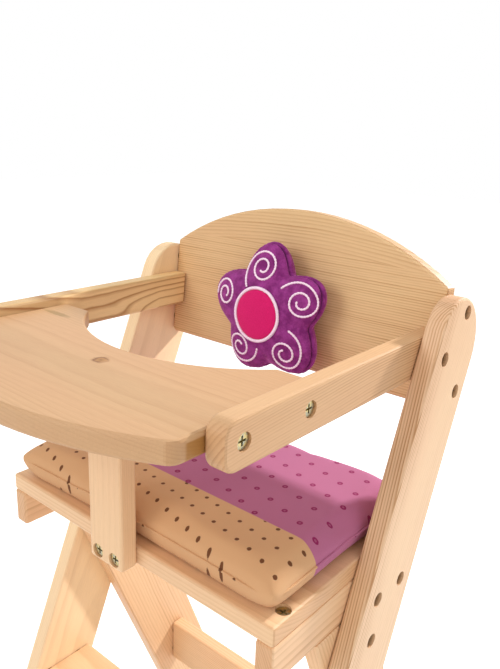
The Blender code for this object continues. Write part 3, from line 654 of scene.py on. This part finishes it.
def show(name, bm, material, body, replaced=()):
    """Turn a bmesh, which is already in its place, into a piece of the scene."""
    bmesh.ops.recalc_face_normals(bm, faces=bm.faces)
    if bm.calc_volume(signed=True) < 0:
        bmesh.ops.reverse_faces(bm, faces=bm.faces)
    mesh = bpy.data.meshes.new(name)
    bm.to_mesh(mesh)
    bm.free()
    mesh.shade_smooth()
    mesh.materials.append(material)
    piece = bpy.data.objects.new(name, mesh)
    bpy.context.scene.collection.objects.link(piece)
    if replaced:
        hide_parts(*replaced)
    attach(piece, body)
    return piece


def bridge(bm, loops, closed):
    """Faces between neighbouring loops of points."""
    pairs = list(zip(loops, loops[1:]))
    if closed:
        pairs.append((loops[-1], loops[0]))
    for first, second in pairs:
        for index in range(len(first)):
            after = (index + 1) % len(first)
            bm.faces.new((first[index], first[after], second[after], second[index]))


def panel(bm, middle, loops):
    """A round panel from its middle to its rim, which is given back."""
    for index, corner in enumerate(loops[0]):
        bm.faces.new((middle, corner, loops[0][(index + 1) % len(loops[0])]))
    bridge(bm, loops, False)
    return loops[-1]


def thread(bm, points, outs, radius, pitch, closed=False):
    """A laid thread whose girth swells at every stitch."""
    corners = 8
    turns = [math.tau * corner / corners for corner in range(corners)]
    tip_share = 0.4
    loops = []
    run = 0.0
    count = len(points)
    for index, (point, out) in enumerate(zip(points, outs)):
        after = points[(index + 1) % count] if closed or index + 1 < count else point
        before = points[index - 1] if closed or index > 0 else point
        way = (after - before).normalized()
        side = way.cross(out).normalized()
        if index:
            run += (point - points[index - 1]).length
        girth = radius * (0.74 + 0.36 * abs(math.sin(math.pi * run / pitch)))
        if not closed and index in (0, count - 1):
            girth *= tip_share
        loops.append([bm.verts.new(point + side * (girth * math.cos(turn)) + out * (girth * math.sin(turn)))
                      for turn in turns])
    bridge(bm, loops, closed)
    if not closed:
        bm.faces.new(loops[0])
        bm.faces.new(loops[-1])


class Pillow:
    """The flower pillow's form, in metres from the middle of its back."""

    def __init__(self, settings):
        tape_low, tape_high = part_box("pillow_loop_tape")
        off_tape = 0.8 * MM
        self.centre = (Vector(tape_low) + Vector(tape_high)) / 2 + BACK_OUT * off_tape
        self.thickness = settings.thickness
        self.seam = settings.seam_height
        self.fullness = settings.petal_fullness
        self.petals = list(zip([math.radians(angle) for angle in settings.petal_angles],
                               settings.petal_reaches, settings.valley_reaches))
        self.mean = (sum(settings.petal_reaches) + sum(settings.valley_reaches)) / (2 * len(self.petals))

    def reach(self, angle):
        """Distance from the middle to the seam, in a direction."""
        for index, (tip_angle, tip_reach, valley) in enumerate(self.petals):
            next_angle, next_reach = self.petals[(index + 1) % len(self.petals)][:2]
            share = ((angle - tip_angle) % math.tau) / ((next_angle - tip_angle) % math.tau)
            if share <= 1:
                nearer = tip_reach if share < 0.5 else next_reach
                swing = max(0.0, (1 + math.cos(math.tau * share)) / 2)
                return valley + (nearer - valley) * swing ** self.fullness
        return 0.0

    def crown(self, share, reach):
        """Height of the front where a share of the way to the seam is gone; the middle is a round dome."""
        petal = share ** 1.5
        even = self.mean * (1 - petal) + reach * petal
        gone = min(1.0, share * reach / even)
        return self.seam + (self.thickness - self.seam) * (1 - gone ** 2.4) ** 0.6

    def front(self, x, y):
        reach = self.reach(math.atan2(y, x))
        return self.crown(min(1.0, math.hypot(x, y) / reach), reach)

    def put(self, x, y, height):
        return self.centre + X_AXIS * x + BACK_UP * y + BACK_OUT * height

    def on_front(self, x, y, lift):
        """A point above the front, and the way out of the cloth there."""
        step = 0.4 * MM
        here = self.front(x, y)
        slope_x = (self.front(x + step, y) - self.front(x - step, y)) / (2 * step)
        slope_y = (self.front(x, y + step) - self.front(x, y - step)) / (2 * step)
        out = (X_AXIS * -slope_x + BACK_UP * -slope_y + BACK_OUT).normalized()
        return self.put(x, y, here) + out * lift, out


def pillow_body(form, material):
    """Two stuffed panels that meet in a drawn-in, puckered seam."""
    spokes = 360
    rings = 56
    pucker_pitch = 5.2 * MM
    # Depths in millimetres
    seam_depth = 3.2
    pucker_depth = 0.35
    side_swell = 1.2
    back_swell = 1.5

    def near(off, reach):
        """1 at a height and less away from it."""
        return math.exp(-(off / reach) ** 2)
    bm = bmesh.new()
    angles = [math.tau * index / spokes for index in range(spokes)]
    rim = [Vector((form.reach(angle) * math.cos(angle), form.reach(angle) * math.sin(angle), 0))
           for angle in angles]
    run = [0.0]
    for before, after in zip(rim, rim[1:]):
        run.append(run[-1] + (after - before).length)
    sides = []
    for front in (True, False):
        loops = []
        for ring in range(1, rings + 1):
            share = math.sin(math.pi / 2 * ring / rings)
            back = form.seam * (1 - (1 - share ** 5) ** 0.6)
            loop = []
            for angle, length, edge in zip(angles, run, rim):
                height = form.crown(share, edge.length) if front else back
                off = (height - form.seam) / MM
                ragged = noise.noise((length * 90, 0.0, 1.0))
                gather = 0.5 + 0.5 * math.sin(math.tau * length / pucker_pitch + 3.0 * ragged)
                drawn = seam_depth * near(off, 1.2) * (1.0 + 0.35 * ragged)
                drawn += pucker_depth * gather * near(off, 3.6) * share ** 6
                filled = side_swell * near(off, 5.0) * share ** 6
                filled += 0.0 if front else back_swell * near(off + 7.5, 4.5) * share ** 5
                place = edge * share + edge.normalized() * ((filled - drawn) * MM)
                soft = noise.noise((place.x * 55, place.y * 55, 3.0 if front else 9.0)) * (1 - share ** 8)
                lift = height + soft * 0.7 * MM
                loop.append(bm.verts.new(form.put(place.x, place.y, lift if front else max(lift, 0.0))))
            loops.append(loop)
        middle = bm.verts.new(form.put(0, 0, form.thickness if front else 0.0))
        sides.append(panel(bm, middle, loops))
    bridge(bm, sides, False)
    bmesh.ops.remove_doubles(bm, verts=bm.verts, dist=0.02 * MM)
    return show("pillow_body", bm, material, "pillow", ["flower_pillow"])


def pillow_disc(form, settings, material):
    """The felt disc in the pillow's middle."""
    bm = bmesh.new()
    spokes = 96
    rings = 14
    aside = settings.disc_aside
    shares = [index / rings for index in range(1, rings + 1)]
    back_lift = 0.25 * MM
    edge_lift = 0.5 * MM
    front_lift = 1.15 * MM
    sides = []
    for lift in (back_lift, front_lift):
        loops = []
        for share in shares:
            edge = lift if share < 1 else edge_lift
            loop = []
            for index in range(spokes):
                angle = math.tau * index / spokes
                radius = settings.disc_radius * share
                point = form.on_front(aside + radius * math.cos(angle), radius * math.sin(angle), edge)[0]
                loop.append(bm.verts.new(point))
            loops.append(loop)
        sides.append(panel(bm, bm.verts.new(form.on_front(aside, 0, lift)[0]), loops))
    bridge(bm, sides, False)
    bmesh.ops.remove_doubles(bm, verts=bm.verts, dist=0.01 * MM)
    return show("pillow_disc", bm, material, "pillow", ["centre_patch"])


def pillow_ring(form, settings, material):
    """The satin-stitched ring round the disc."""
    bm = bmesh.new()
    count = 480
    lift = 0.75 * MM
    stitch = 1.0 * MM
    radius = settings.ring_radius
    angles = [math.tau * index / count for index in range(count)]
    laid = [form.on_front(settings.disc_aside + radius * math.cos(angle), radius * math.sin(angle), lift)
            for angle in angles]
    thread(bm, *zip(*laid), settings.ring_girth, stitch, closed=True)
    return show("pillow_ring", bm, material, "pillow", ["patch_ring"])


def pillow_spirals(form, settings, material):
    """A stitched spiral with an open tail on every petal."""
    bm = bmesh.new()
    eye_radius = 2.6
    growth = 0.0143
    tail_from = 596.0
    tail_growth = 0.0004
    lift = 0.15 * MM
    step = 0.4 * MM
    stitch = 2.2 * MM
    places = zip([petal[0] for petal in form.petals], settings.spiral_out, settings.spiral_side,
                 settings.spiral_start, settings.spiral_turn, settings.spiral_margin)
    for tip_angle, out_by, side_by, first, last, margin in places:
        runs = [[]]
        turn = 0.0
        while turn < last:
            opened = max(0.0, turn - tail_from)
            radius = (eye_radius + growth * turn + tail_growth * opened * opened) * MM
            way = math.radians(first + turn)
            along = out_by + radius * math.cos(way)
            aside = side_by + radius * math.sin(way)
            x = along * math.cos(tip_angle) - aside * math.sin(tip_angle)
            y = along * math.sin(tip_angle) + aside * math.cos(tip_angle)
            if math.hypot(x, y) < form.reach(math.atan2(y, x)) - margin:
                runs[-1].append(form.on_front(x, y, lift))
            elif runs[-1]:
                runs.append([])
            turn += math.degrees(step / radius)
        for stretch in runs:
            if len(stretch) > 3:
                thread(bm, *zip(*stretch), settings.stitch_girth, stitch)
    return show("pillow_spirals", bm, material, "pillow")


def swollen(piece, low, high, cap):
    """Blow a closed mesh up as stuffed cloth, and keep it inside its CAD solid's box."""
    last_frame = 20
    before = [vert.co.copy() for vert in piece.data.vertices]
    modifier = piece.modifiers.new("stuffing", "CLOTH")
    modifier.settings.use_pressure = True
    modifier.settings.uniform_pressure_force = 4.0
    modifier.settings.effector_weights.gravity = 0.0
    modifier.settings.quality = 6
    scene = bpy.context.scene
    for frame in range(1, last_frame + 1):
        scene.frame_set(frame)
    shape = piece.evaluated_get(bpy.context.evaluated_depsgraph_get()).to_mesh()
    after = [vert.co.copy() for vert in shape.vertices]
    piece.to_mesh_clear()
    piece.modifiers.remove(modifier)
    scene.frame_set(1)
    for vert, old, new in zip(piece.data.vertices, before, after):
        move = new - old
        if move.length > cap:
            move *= cap / move.length
        for axis in range(3):
            vert.co[axis] = min(max(old[axis] + move[axis], low[axis]), high[axis])


class Cushion:
    """The seat cushion's room: the box of its solid, and the height of its seam."""

    def __init__(self, settings):
        self.low, self.high = (Vector(corner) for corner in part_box("seat_cushion"))
        self.middle = (self.low + self.high) / 2
        self.half = (self.high - self.low) / 2
        self.seam = self.low.z + settings.seam_height


def cushion_cover(form, settings, material):
    """The seat cushion: a crowned, stuffed cover."""
    middle = form.middle
    half = form.half
    inset = 1.5 * MM
    dents = 1.2 * MM
    cells = 40
    shares = [-math.cos(math.pi * index / cells) for index in range(cells + 1)]
    bm = bmesh.new()
    for top in (True, False):
        rows = []
        for t in shares:
            row = []
            for s in shares:
                x = middle.x + s * (half.x - inset - settings.draw * (1 - t * t))
                y = middle.y + t * (half.y - inset - settings.draw * (1 - s * s))
                swell = max(0.0, (1 - s ** 8) * (1 - t ** 8)) ** 0.5
                dent = noise.noise((x * 22, y * 22, 4.0)) * dents * swell
                if top:
                    z = form.seam + (form.high.z - inset - form.seam) * swell + dent
                else:
                    z = form.seam - (form.seam - form.low.z) * min(1.0, 2 * swell)
                row.append(bm.verts.new((x, y, z)))
            rows.append(row)
        for row, following in zip(rows, rows[1:]):
            for index in range(cells):
                bm.faces.new((row[index], row[index + 1], following[index + 1], following[index]))
    bmesh.ops.remove_doubles(bm, verts=bm.verts, dist=0.02 * MM)
    piece = show("cushion_cover", bm, material, "cushion", ["seat_cushion"])
    furthest_move = 4 * MM
    remesh = piece.modifiers.new("cells", "REMESH")
    remesh.mode = "VOXEL"
    remesh.voxel_size = 4 * MM
    bpy.context.view_layer.objects.active = piece
    bpy.ops.object.modifier_apply(modifier=remesh.name)
    swollen(piece, form.low, form.high, furthest_move)
    for axis in (0, 1):
        reach = max(abs(vert.co[axis] - middle[axis]) for vert in piece.data.vertices)
        for vert in piece.data.vertices:
            vert.co[axis] = middle[axis] + (vert.co[axis] - middle[axis]) * half[axis] / reach
    piece.data.shade_smooth()
    finer = piece.modifiers.new("finer", "SUBSURF")
    finer.levels = 1
    finer.render_levels = 1
    return piece


def cushion_piping(form, cover, settings, material):
    """The corded seam round the cushion, laid along the cover's own rim."""
    count = 240
    search = 3.5 * MM
    smoothings = 8
    # So long a stitch that the girth stays even
    stitch = 400.0
    rim = [Vector((0, 0, form.seam)) for index in range(count)]
    reach = [0.0] * count
    for vert in cover.data.vertices:
        off = vert.co - form.middle
        index = round(math.atan2(off.y, off.x) / math.tau * count) % count
        far = math.hypot(off.x, off.y)
        if abs(vert.co.z - form.seam) < search and far > reach[index]:
            reach[index] = far
            rim[index] = vert.co.copy()
    points = [point for point, far in zip(rim, reach) if far > 0]
    for smoothing in range(smoothings):
        points = [(points[index - 1] + points[index] * 2 + points[(index + 1) % len(points)]) / 4
                  for index in range(len(points))]
    bm = bmesh.new()
    thread(bm, points, [Z_AXIS] * len(points), settings.piping_girth, stitch, closed=True)
    return show("cushion_piping", bm, material, "cushion")


# Studio

CHAIR_MIDDLE = (0.0, 0.05, 0.45)
# Name, place, point aimed at, side, power and colour
LIGHTS = (
    ("lamp", (0.315, 0.903, 0.920), (0.119, 0.032, 0.470), 0.06, 13.5, (0.98, 1.0, 1.04)),
    ("side", (2.0, -0.5, 1.3), CHAIR_MIDDLE, 1.6, 4.6, (1.0, 1.0, 0.98)),
    ("front", (-0.55, -1.6, 1.3), CHAIR_MIDDLE, 0.8, 9.4, WHITE),
    ("fill", (1.1, -1.5, 1.1), CHAIR_MIDDLE, 1.0, 2.6, WHITE),
    ("top", (0.0, -0.3, 2.2), CHAIR_MIDDLE, 1.2, 3.6, WHITE),
)


def seen_plainly(nodes):
    """1 for what the camera sees straight, in metal or through glass, and 0 for light on the object."""
    path = nodes.add("ShaderNodeLightPath").outputs
    seen = nodes.plus(path["Is Camera Ray"], path["Is Glossy Ray"])
    return nodes.plus(seen, path["Is Transmission Ray"], clamp=True)


def area_light(name, place, aim, size, power, colour):
    """A soft square light that faces a point."""
    data = bpy.data.lights.new(name, "AREA")
    data.shape = "SQUARE"
    data.size = size
    data.energy = power
    data.color = colour
    light = bpy.data.objects.new(name, data)
    light.location = place
    light.rotation_euler = (Vector(aim) - Vector(place)).to_track_quat("-Z", "Y").to_euler()
    bpy.context.scene.collection.objects.link(light)


def make_camera(settings):
    """The photograph's camera, as fitted to the chair's straight edges."""
    data = bpy.data.cameras.new("camera")
    data.sensor_width = 36.0
    data.lens = settings.lens
    data.clip_start = 0.01
    turn = settings.azimuth
    rise = settings.elevation
    back = Vector((math.sin(turn) * math.cos(rise), -math.cos(turn) * math.cos(rise), math.sin(rise)))
    right = Vector((math.cos(turn), math.sin(turn), 0))
    up = back.cross(right)
    roll = settings.roll
    tilted_right = right * math.cos(roll) + up * math.sin(roll)
    tilted_up = up * math.cos(roll) - right * math.sin(roll)
    camera = bpy.data.objects.new("camera", data)
    turned = Matrix((tilted_right, tilted_up, back)).transposed().to_4x4()
    camera.matrix_world = Matrix.Translation(settings.place) @ turned
    bpy.context.scene.collection.objects.link(camera)
    bpy.context.scene.camera = camera


def make_floor(settings):
    """A pale floor that stays white where the light reaches it."""
    bm = bmesh.new()
    bmesh.ops.create_grid(bm, x_segments=1, y_segments=1, size=settings.floor_reach)
    below = 0.5 * MM
    bmesh.ops.translate(bm, verts=bm.verts, vec=(0, 0, -below))
    mesh = bpy.data.meshes.new("floor")
    bm.to_mesh(mesh)
    bm.free()
    floor = bpy.data.objects.new("floor", mesh)
    bpy.context.scene.collection.objects.link(floor)
    material = bpy.data.materials.new("studio_floor")
    material.use_nodes = True
    nodes = Nodes(material.node_tree)
    material.node_tree.nodes.clear()
    matt = nodes.add("ShaderNodeBsdfDiffuse")
    matt.inputs["Color"].default_value = (0.8, 0.8, 0.8, 1)
    glow = nodes.add("ShaderNodeEmission")
    glow.inputs["Strength"].default_value = settings.floor_glow
    added = nodes.add("ShaderNodeAddShader")
    nodes.feed(added.inputs[0], matt.outputs[0])
    nodes.feed(added.inputs[1], glow.outputs[0])
    mixed = nodes.add("ShaderNodeMixShader")
    nodes.feed(mixed.inputs[0], seen_plainly(nodes))
    nodes.feed(mixed.inputs[1], matt.outputs[0])
    nodes.feed(mixed.inputs[2], added.outputs[0])
    nodes.feed(nodes.add("ShaderNodeOutputMaterial").inputs[0], mixed.outputs[0])
    mesh.materials.append(material)


def make_world(settings):
    """White behind everything, with a gentler light on the object."""
    world = bpy.data.worlds.new("studio")
    bpy.context.scene.world = world
    world.use_nodes = True
    nodes = Nodes(world.node_tree)
    world.node_tree.nodes.clear()
    soft = nodes.add("ShaderNodeBackground")
    soft.inputs["Color"].default_value = (*settings.sky, 1)
    soft.inputs["Strength"].default_value = settings.sky_strength
    white = nodes.add("ShaderNodeBackground")
    white.inputs["Color"].default_value = (1, 1, 1, 1)
    mixed = nodes.add("ShaderNodeMixShader")
    nodes.feed(mixed.inputs[0], seen_plainly(nodes))
    nodes.feed(mixed.inputs[1], soft.outputs[0])
    nodes.feed(mixed.inputs[2], white.outputs[0])
    nodes.feed(nodes.add("ShaderNodeOutputWorld").inputs[0], mixed.outputs[0])


# Settings

def colour_setting(name, description, default):
    return bpy.props.FloatVectorProperty(name=name, description=description, default=default, size=3,
                                         subtype="COLOR", min=0.0, max=1.0)


def length_setting(name, description, default):
    return bpy.props.FloatProperty(name=name, description=description, default=default, unit="LENGTH",
                                   subtype="DISTANCE", precision=4)


def number_setting(name, description, default):
    return bpy.props.FloatProperty(name=name, description=description, default=default, subtype="FACTOR")


def angle_setting(name, description, degrees):
    return bpy.props.FloatProperty(name=name, description=description, default=math.radians(degrees),
                                   subtype="ANGLE")


def petal_setting(name, description, *values):
    """One angle, in degrees, for each petal."""
    return bpy.props.FloatVectorProperty(name=name, description=description, default=values, size=5)


def petal_lengths(name, description, *millimetres):
    """One length for each petal."""
    return bpy.props.FloatVectorProperty(name=name, description=description, size=5, unit="LENGTH",
                                         default=[value * MM for value in millimetres])


def print_setting(name, description, *millimetres):
    """A place or step of the print, in millimetres from the arm rails' rear top line."""
    return bpy.props.FloatVectorProperty(name=name, description=description, default=millimetres, size=2)


class WoodSettings(bpy.types.PropertyGroup):
    """Colours and finish of the pine."""
    pale: colour_setting("Pale wood", "Early wood of a ring", srgb(238, 199, 155))
    rosy: colour_setting("Rosy wood", "Early wood in warmer patches", srgb(233, 189, 147))
    dark: colour_setting("Dark wood", "Late wood of a ring", srgb(186, 132, 82))
    bold: colour_setting("Bold rings", "Late wood of the left arm rail", srgb(166, 108, 60))
    # Painted shade on the left arm rail's front part, where the lamp's light falls
    front_painted_shade: colour_setting("Heart wood", "Tint of the left arm rail's front part", (0.63, 0.58, 0.57))
    # Painted shade on the backrest's edges and rear, also standing for the darker end grain of its cut ends
    rim: colour_setting("Backrest rim", "Tint of the backrest's edges and rear", (0.76, 0.69, 0.64))
    # Painted shade deep in the screw pockets
    pocket: colour_setting("Screw pockets", "Tint of the wood deep in a screw pocket", (0.28, 0.20, 0.12))
    end_shade: colour_setting("End grain", "Tint of cut ends", (0.86, 0.78, 0.72))
    rail_end: colour_setting("Rail ends", "Tint of the arm rails' cut ends", (0.98, 0.94, 0.90))
    # Painted shade on the tray's corners and sides, and painted light along the sides' upper edge
    tray_corner_painted_shade: colour_setting("Tray corner", "Tint of the tray's sanded corners", (0.90, 0.85, 0.80))
    tray_side_painted_shade: colour_setting("Tray side", "Tint of the tray's cut sides", (0.68, 0.53, 0.27))
    tray_edge_painted_light: colour_setting("Tray edge", "Tint of the sides' sanded upper edge", (1.0, 1.0, 0.98))
    streak: colour_setting("Resin streak", "Streak in the tray", srgb(176, 148, 98))
    roughness: number_setting("Roughness", "Satin varnish", 0.48)
    relief: length_setting("Relief", "Depth of the grain under the varnish", 0.08 * MM)


class MetalSettings(bpy.types.PropertyGroup):
    """Screws."""
    yellow: colour_setting("Yellow zinc", "Passivated plating", srgb(205, 186, 128))
    grey: colour_setting("Grey zinc", "Worn plating", srgb(166, 165, 146))
    roughness: number_setting("Roughness", "Plated steel", 0.38)


class PillowSettings(bpy.types.PropertyGroup):
    """Flower pillow: form, embroidery and cloth."""
    thickness: length_setting("Thickness", "From the back to the crown", 30.0 * MM)
    seam_height: length_setting("Seam height", "Seam above the back", 16.8 * MM)
    petal_fullness: number_setting("Petal fullness", "Low is round, high is pointed", 0.71)
    petal_angles: petal_setting("Petal angles", "Direction of each petal in degrees",
                                -112.2, -37.8, 27.9, 87.5, 163.1)
    petal_reaches: petal_lengths("Petal reaches", "Distance of each tip from the middle",
                                 45.2, 52.2, 51.9, 50.9, 48.6)
    valley_reaches: petal_lengths("Valley reaches", "Distance of the valley after each petal",
                                  36.5, 39.1, 35.6, 34.6, 33.1)
    spiral_out: petal_lengths("Spiral distance", "Spiral's middle, out along its petal",
                              29.43, 35.43, 37.75, 33.60, 33.80)
    spiral_side: petal_lengths("Spiral offset", "Spiral's middle, aside from its petal's middle",
                               -2.37, -2.77, -3.92, 0.80, -0.05)
    spiral_start: petal_setting("Spiral start", "Where each spiral starts, in degrees from its petal",
                                139.9, 136.0, 136.3, 145.0, 144.6)
    spiral_turn: petal_setting("Spiral turn", "Length of each spiral in degrees",
                               700.0, 706.0, 712.0, 722.0, 605.0)
    spiral_margin: petal_lengths("Spiral margin", "Bare cloth that each spiral leaves at the seam",
                                 1.2, 1.2, 1.2, 4.4, 1.6)
    disc_aside: length_setting("Disc offset", "Disc's middle, aside from the pillow's", 1.2 * MM)
    disc_radius: length_setting("Disc radius", "Felt disc", 18.2 * MM)
    ring_radius: length_setting("Ring radius", "Stitched ring round the disc", 18.9 * MM)
    ring_girth: length_setting("Ring girth", "Half the ring's width", 1.15 * MM)
    stitch_girth: length_setting("Stitch girth", "Half a spiral's width", 0.78 * MM)
    pile_dark: colour_setting("Dark pile", "Purple pile, brushed away", srgb(120, 36, 104))
    # Painted shade deep in the seam
    seam_painted_shade: colour_setting("Seam pile", "Purple pile, deep in the seam", srgb(58, 12, 56))
    pile_light: colour_setting("Light pile", "Purple pile, brushed towards", srgb(158, 62, 140))
    sheen: colour_setting("Sheen", "Pile where light grazes it", srgb(230, 140, 200))
    disc_dark: colour_setting("Dark felt", "Felt in its hollows", srgb(204, 10, 92))
    disc_light: colour_setting("Light felt", "Felt on its nap", srgb(222, 26, 112))
    thread_dark: colour_setting("Dark thread", "Thread in its hollows", srgb(246, 214, 234))
    thread_light: colour_setting("Light thread", "Thread on its crown", srgb(255, 236, 247))


class CushionSettings(bpy.types.PropertyGroup):
    """Seat cushion: form and print."""
    seam_height: length_setting("Seam height", "Seam above the seat", 13.0 * MM)
    draw: length_setting("Draw", "How far the sides pull in", 1.0 * MM)
    piping_girth: length_setting("Piping girth", "Half the piping's width", 1.1 * MM)
    cotton: colour_setting("Cotton", "Ground of the print", srgb(184, 106, 140))
    ring: colour_setting("Ring", "Printed rings", srgb(142, 24, 84))
    band: colour_setting("Band", "Ground of the front band", srgb(217, 168, 122))
    band_ring: colour_setting("Band rings", "Printed dots on the front band", srgb(112, 66, 36))
    band_edge: print_setting("Band's edge", "Where the front band ends and the pink starts", -118.6, -117.8)
    lattice_start: print_setting("First ring", "A ring to start from", 30.4, -50.8)
    lattice_first: print_setting("First step", "From one ring to the next", 14.5, -4.5)
    lattice_second: print_setting("Second step", "To the next row", 11.7, 14.1)
    band_start: print_setting("Band's first dot", "A dot to start from", -82.8, -151.5)
    band_first: print_setting("Band's first step", "From one dot to the next", 21.5, 8.7)
    band_second: print_setting("Band's second step", "To the next row", -10.7, 2.0)


class StageSettings(bpy.types.PropertyGroup):
    """Camera, lights, floor and background."""
    lens: bpy.props.FloatProperty(name="Lens", description="Focal length in millimetres", default=36.787)
    azimuth: angle_setting("Azimuth", "Camera's turn about the chair", 39.526)
    elevation: angle_setting("Elevation", "Camera's angle above the horizon", 16.881)
    roll: angle_setting("Roll", "Camera's tilt", 2.118)
    place: bpy.props.FloatVectorProperty(name="Place", description="Camera's position", size=3,
                                         subtype="TRANSLATION",
                                         default=(0.29101, ARM_REAR - 0.39669, ARM_TOP + 0.117885))
    sky: colour_setting("Sky", "Tint of the soft light all round", (1.0, 1.0, 1.0))
    sky_strength: number_setting("Sky strength", "Soft light all round", 0.69)
    floor_glow: number_setting("Floor glow", "Light that the floor adds for the camera", 0.6)
    floor_reach: length_setting("Floor reach", "Half the floor's side", 6.0)


# Operators

class HIGHCHAIR_OT_wood(bpy.types.Operator):
    """Give every board its own run of pine"""
    bl_idname = "highchair.wood"
    bl_label = "Dress Wood"

    def execute(self, context):
        settings = context.scene.highchair_wood
        group = pine_group(settings)
        for name, figure in figures().items():
            node = FRAME["nodes"][name]
            node.data.materials.clear()
            node.data.materials.append(pine_material(name, figure, group, settings))
        return {"FINISHED"}


class HIGHCHAIR_OT_metal(bpy.types.Operator):
    """Plate the screws and finish the fastening tape"""
    bl_idname = "highchair.metal"
    bl_label = "Dress Hardware"

    def execute(self, context):
        zinc = zinc_material(context.scene.highchair_metal)
        tape = tape_material()
        for name, node in FRAME["nodes"].items():
            if "_screw_" in name or "_tape" in name:
                node.data.materials.clear()
                node.data.materials.append(tape if "_tape" in name else zinc)
        return {"FINISHED"}


class HIGHCHAIR_OT_pillow(bpy.types.Operator):
    """Make the flower pillow with its disc, ring and spirals"""
    bl_idname = "highchair.pillow"
    bl_label = "Make Pillow"

    def execute(self, context):
        settings = context.scene.highchair_pillow
        form = Pillow(settings)
        white = thread_material(settings)
        body = pillow_body(form, velour_material(form, settings))
        pillow_disc(form, settings, felt_material(settings))
        pillow_ring(form, settings, white)
        pillow_spirals(form, settings, white)
        return {"FINISHED"}


class HIGHCHAIR_OT_cushion(bpy.types.Operator):
    """Make the stuffed seat cushion"""
    bl_idname = "highchair.cushion"
    bl_label = "Make Cushion"

    def execute(self, context):
        settings = context.scene.highchair_cushion
        form = Cushion(settings)
        cotton = print_material(settings)
        cover = cushion_cover(form, settings, cotton)
        cushion_piping(form, cover, settings, cotton)
        return {"FINISHED"}


class HIGHCHAIR_OT_stage(bpy.types.Operator):
    """Set up the camera, the lights, the floor and the background"""
    bl_idname = "highchair.stage"
    bl_label = "Set Stage"

    def execute(self, context):
        settings = context.scene.highchair_stage
        make_camera(settings)
        make_floor(settings)
        make_world(settings)
        for light in LIGHTS:
            area_light(*light)
        context.scene.view_settings.view_transform = "Standard"
        return {"FINISHED"}


class HIGHCHAIR_PT_panel(bpy.types.Panel):
    """Steps that dress the high chair"""
    bl_label = "High Chair"
    bl_idname = "HIGHCHAIR_PT_panel"
    bl_space_type = "VIEW_3D"
    bl_region_type = "UI"
    bl_category = "High Chair"

    def draw(self, context):
        for operator in OPERATORS:
            self.layout.operator(operator.bl_idname)


OPERATORS = (HIGHCHAIR_OT_wood, HIGHCHAIR_OT_metal, HIGHCHAIR_OT_pillow, HIGHCHAIR_OT_cushion,
             HIGHCHAIR_OT_stage)
SETTINGS = {"highchair_wood": WoodSettings, "highchair_metal": MetalSettings,
            "highchair_pillow": PillowSettings, "highchair_cushion": CushionSettings,
            "highchair_stage": StageSettings}
FRAME = {}


def register():
    for name, group in SETTINGS.items():
        bpy.utils.register_class(group)
        setattr(bpy.types.Scene, name, bpy.props.PointerProperty(type=group))
    for kind in (*OPERATORS, HIGHCHAIR_PT_panel):
        bpy.utils.register_class(kind)


def unregister():
    for kind in (HIGHCHAIR_PT_panel, *reversed(OPERATORS)):
        bpy.utils.unregister_class(kind)
    for name, group in SETTINGS.items():
        delattr(bpy.types.Scene, name)
        bpy.utils.unregister_class(group)


def main():
    FRAME.update(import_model())
    register()
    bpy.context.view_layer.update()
    bpy.ops.highchair.wood()
    bpy.ops.highchair.metal()
    bpy.ops.highchair.pillow()
    bpy.ops.highchair.cushion()
    bpy.ops.highchair.stage()


if __name__ == "__main__":
    main()
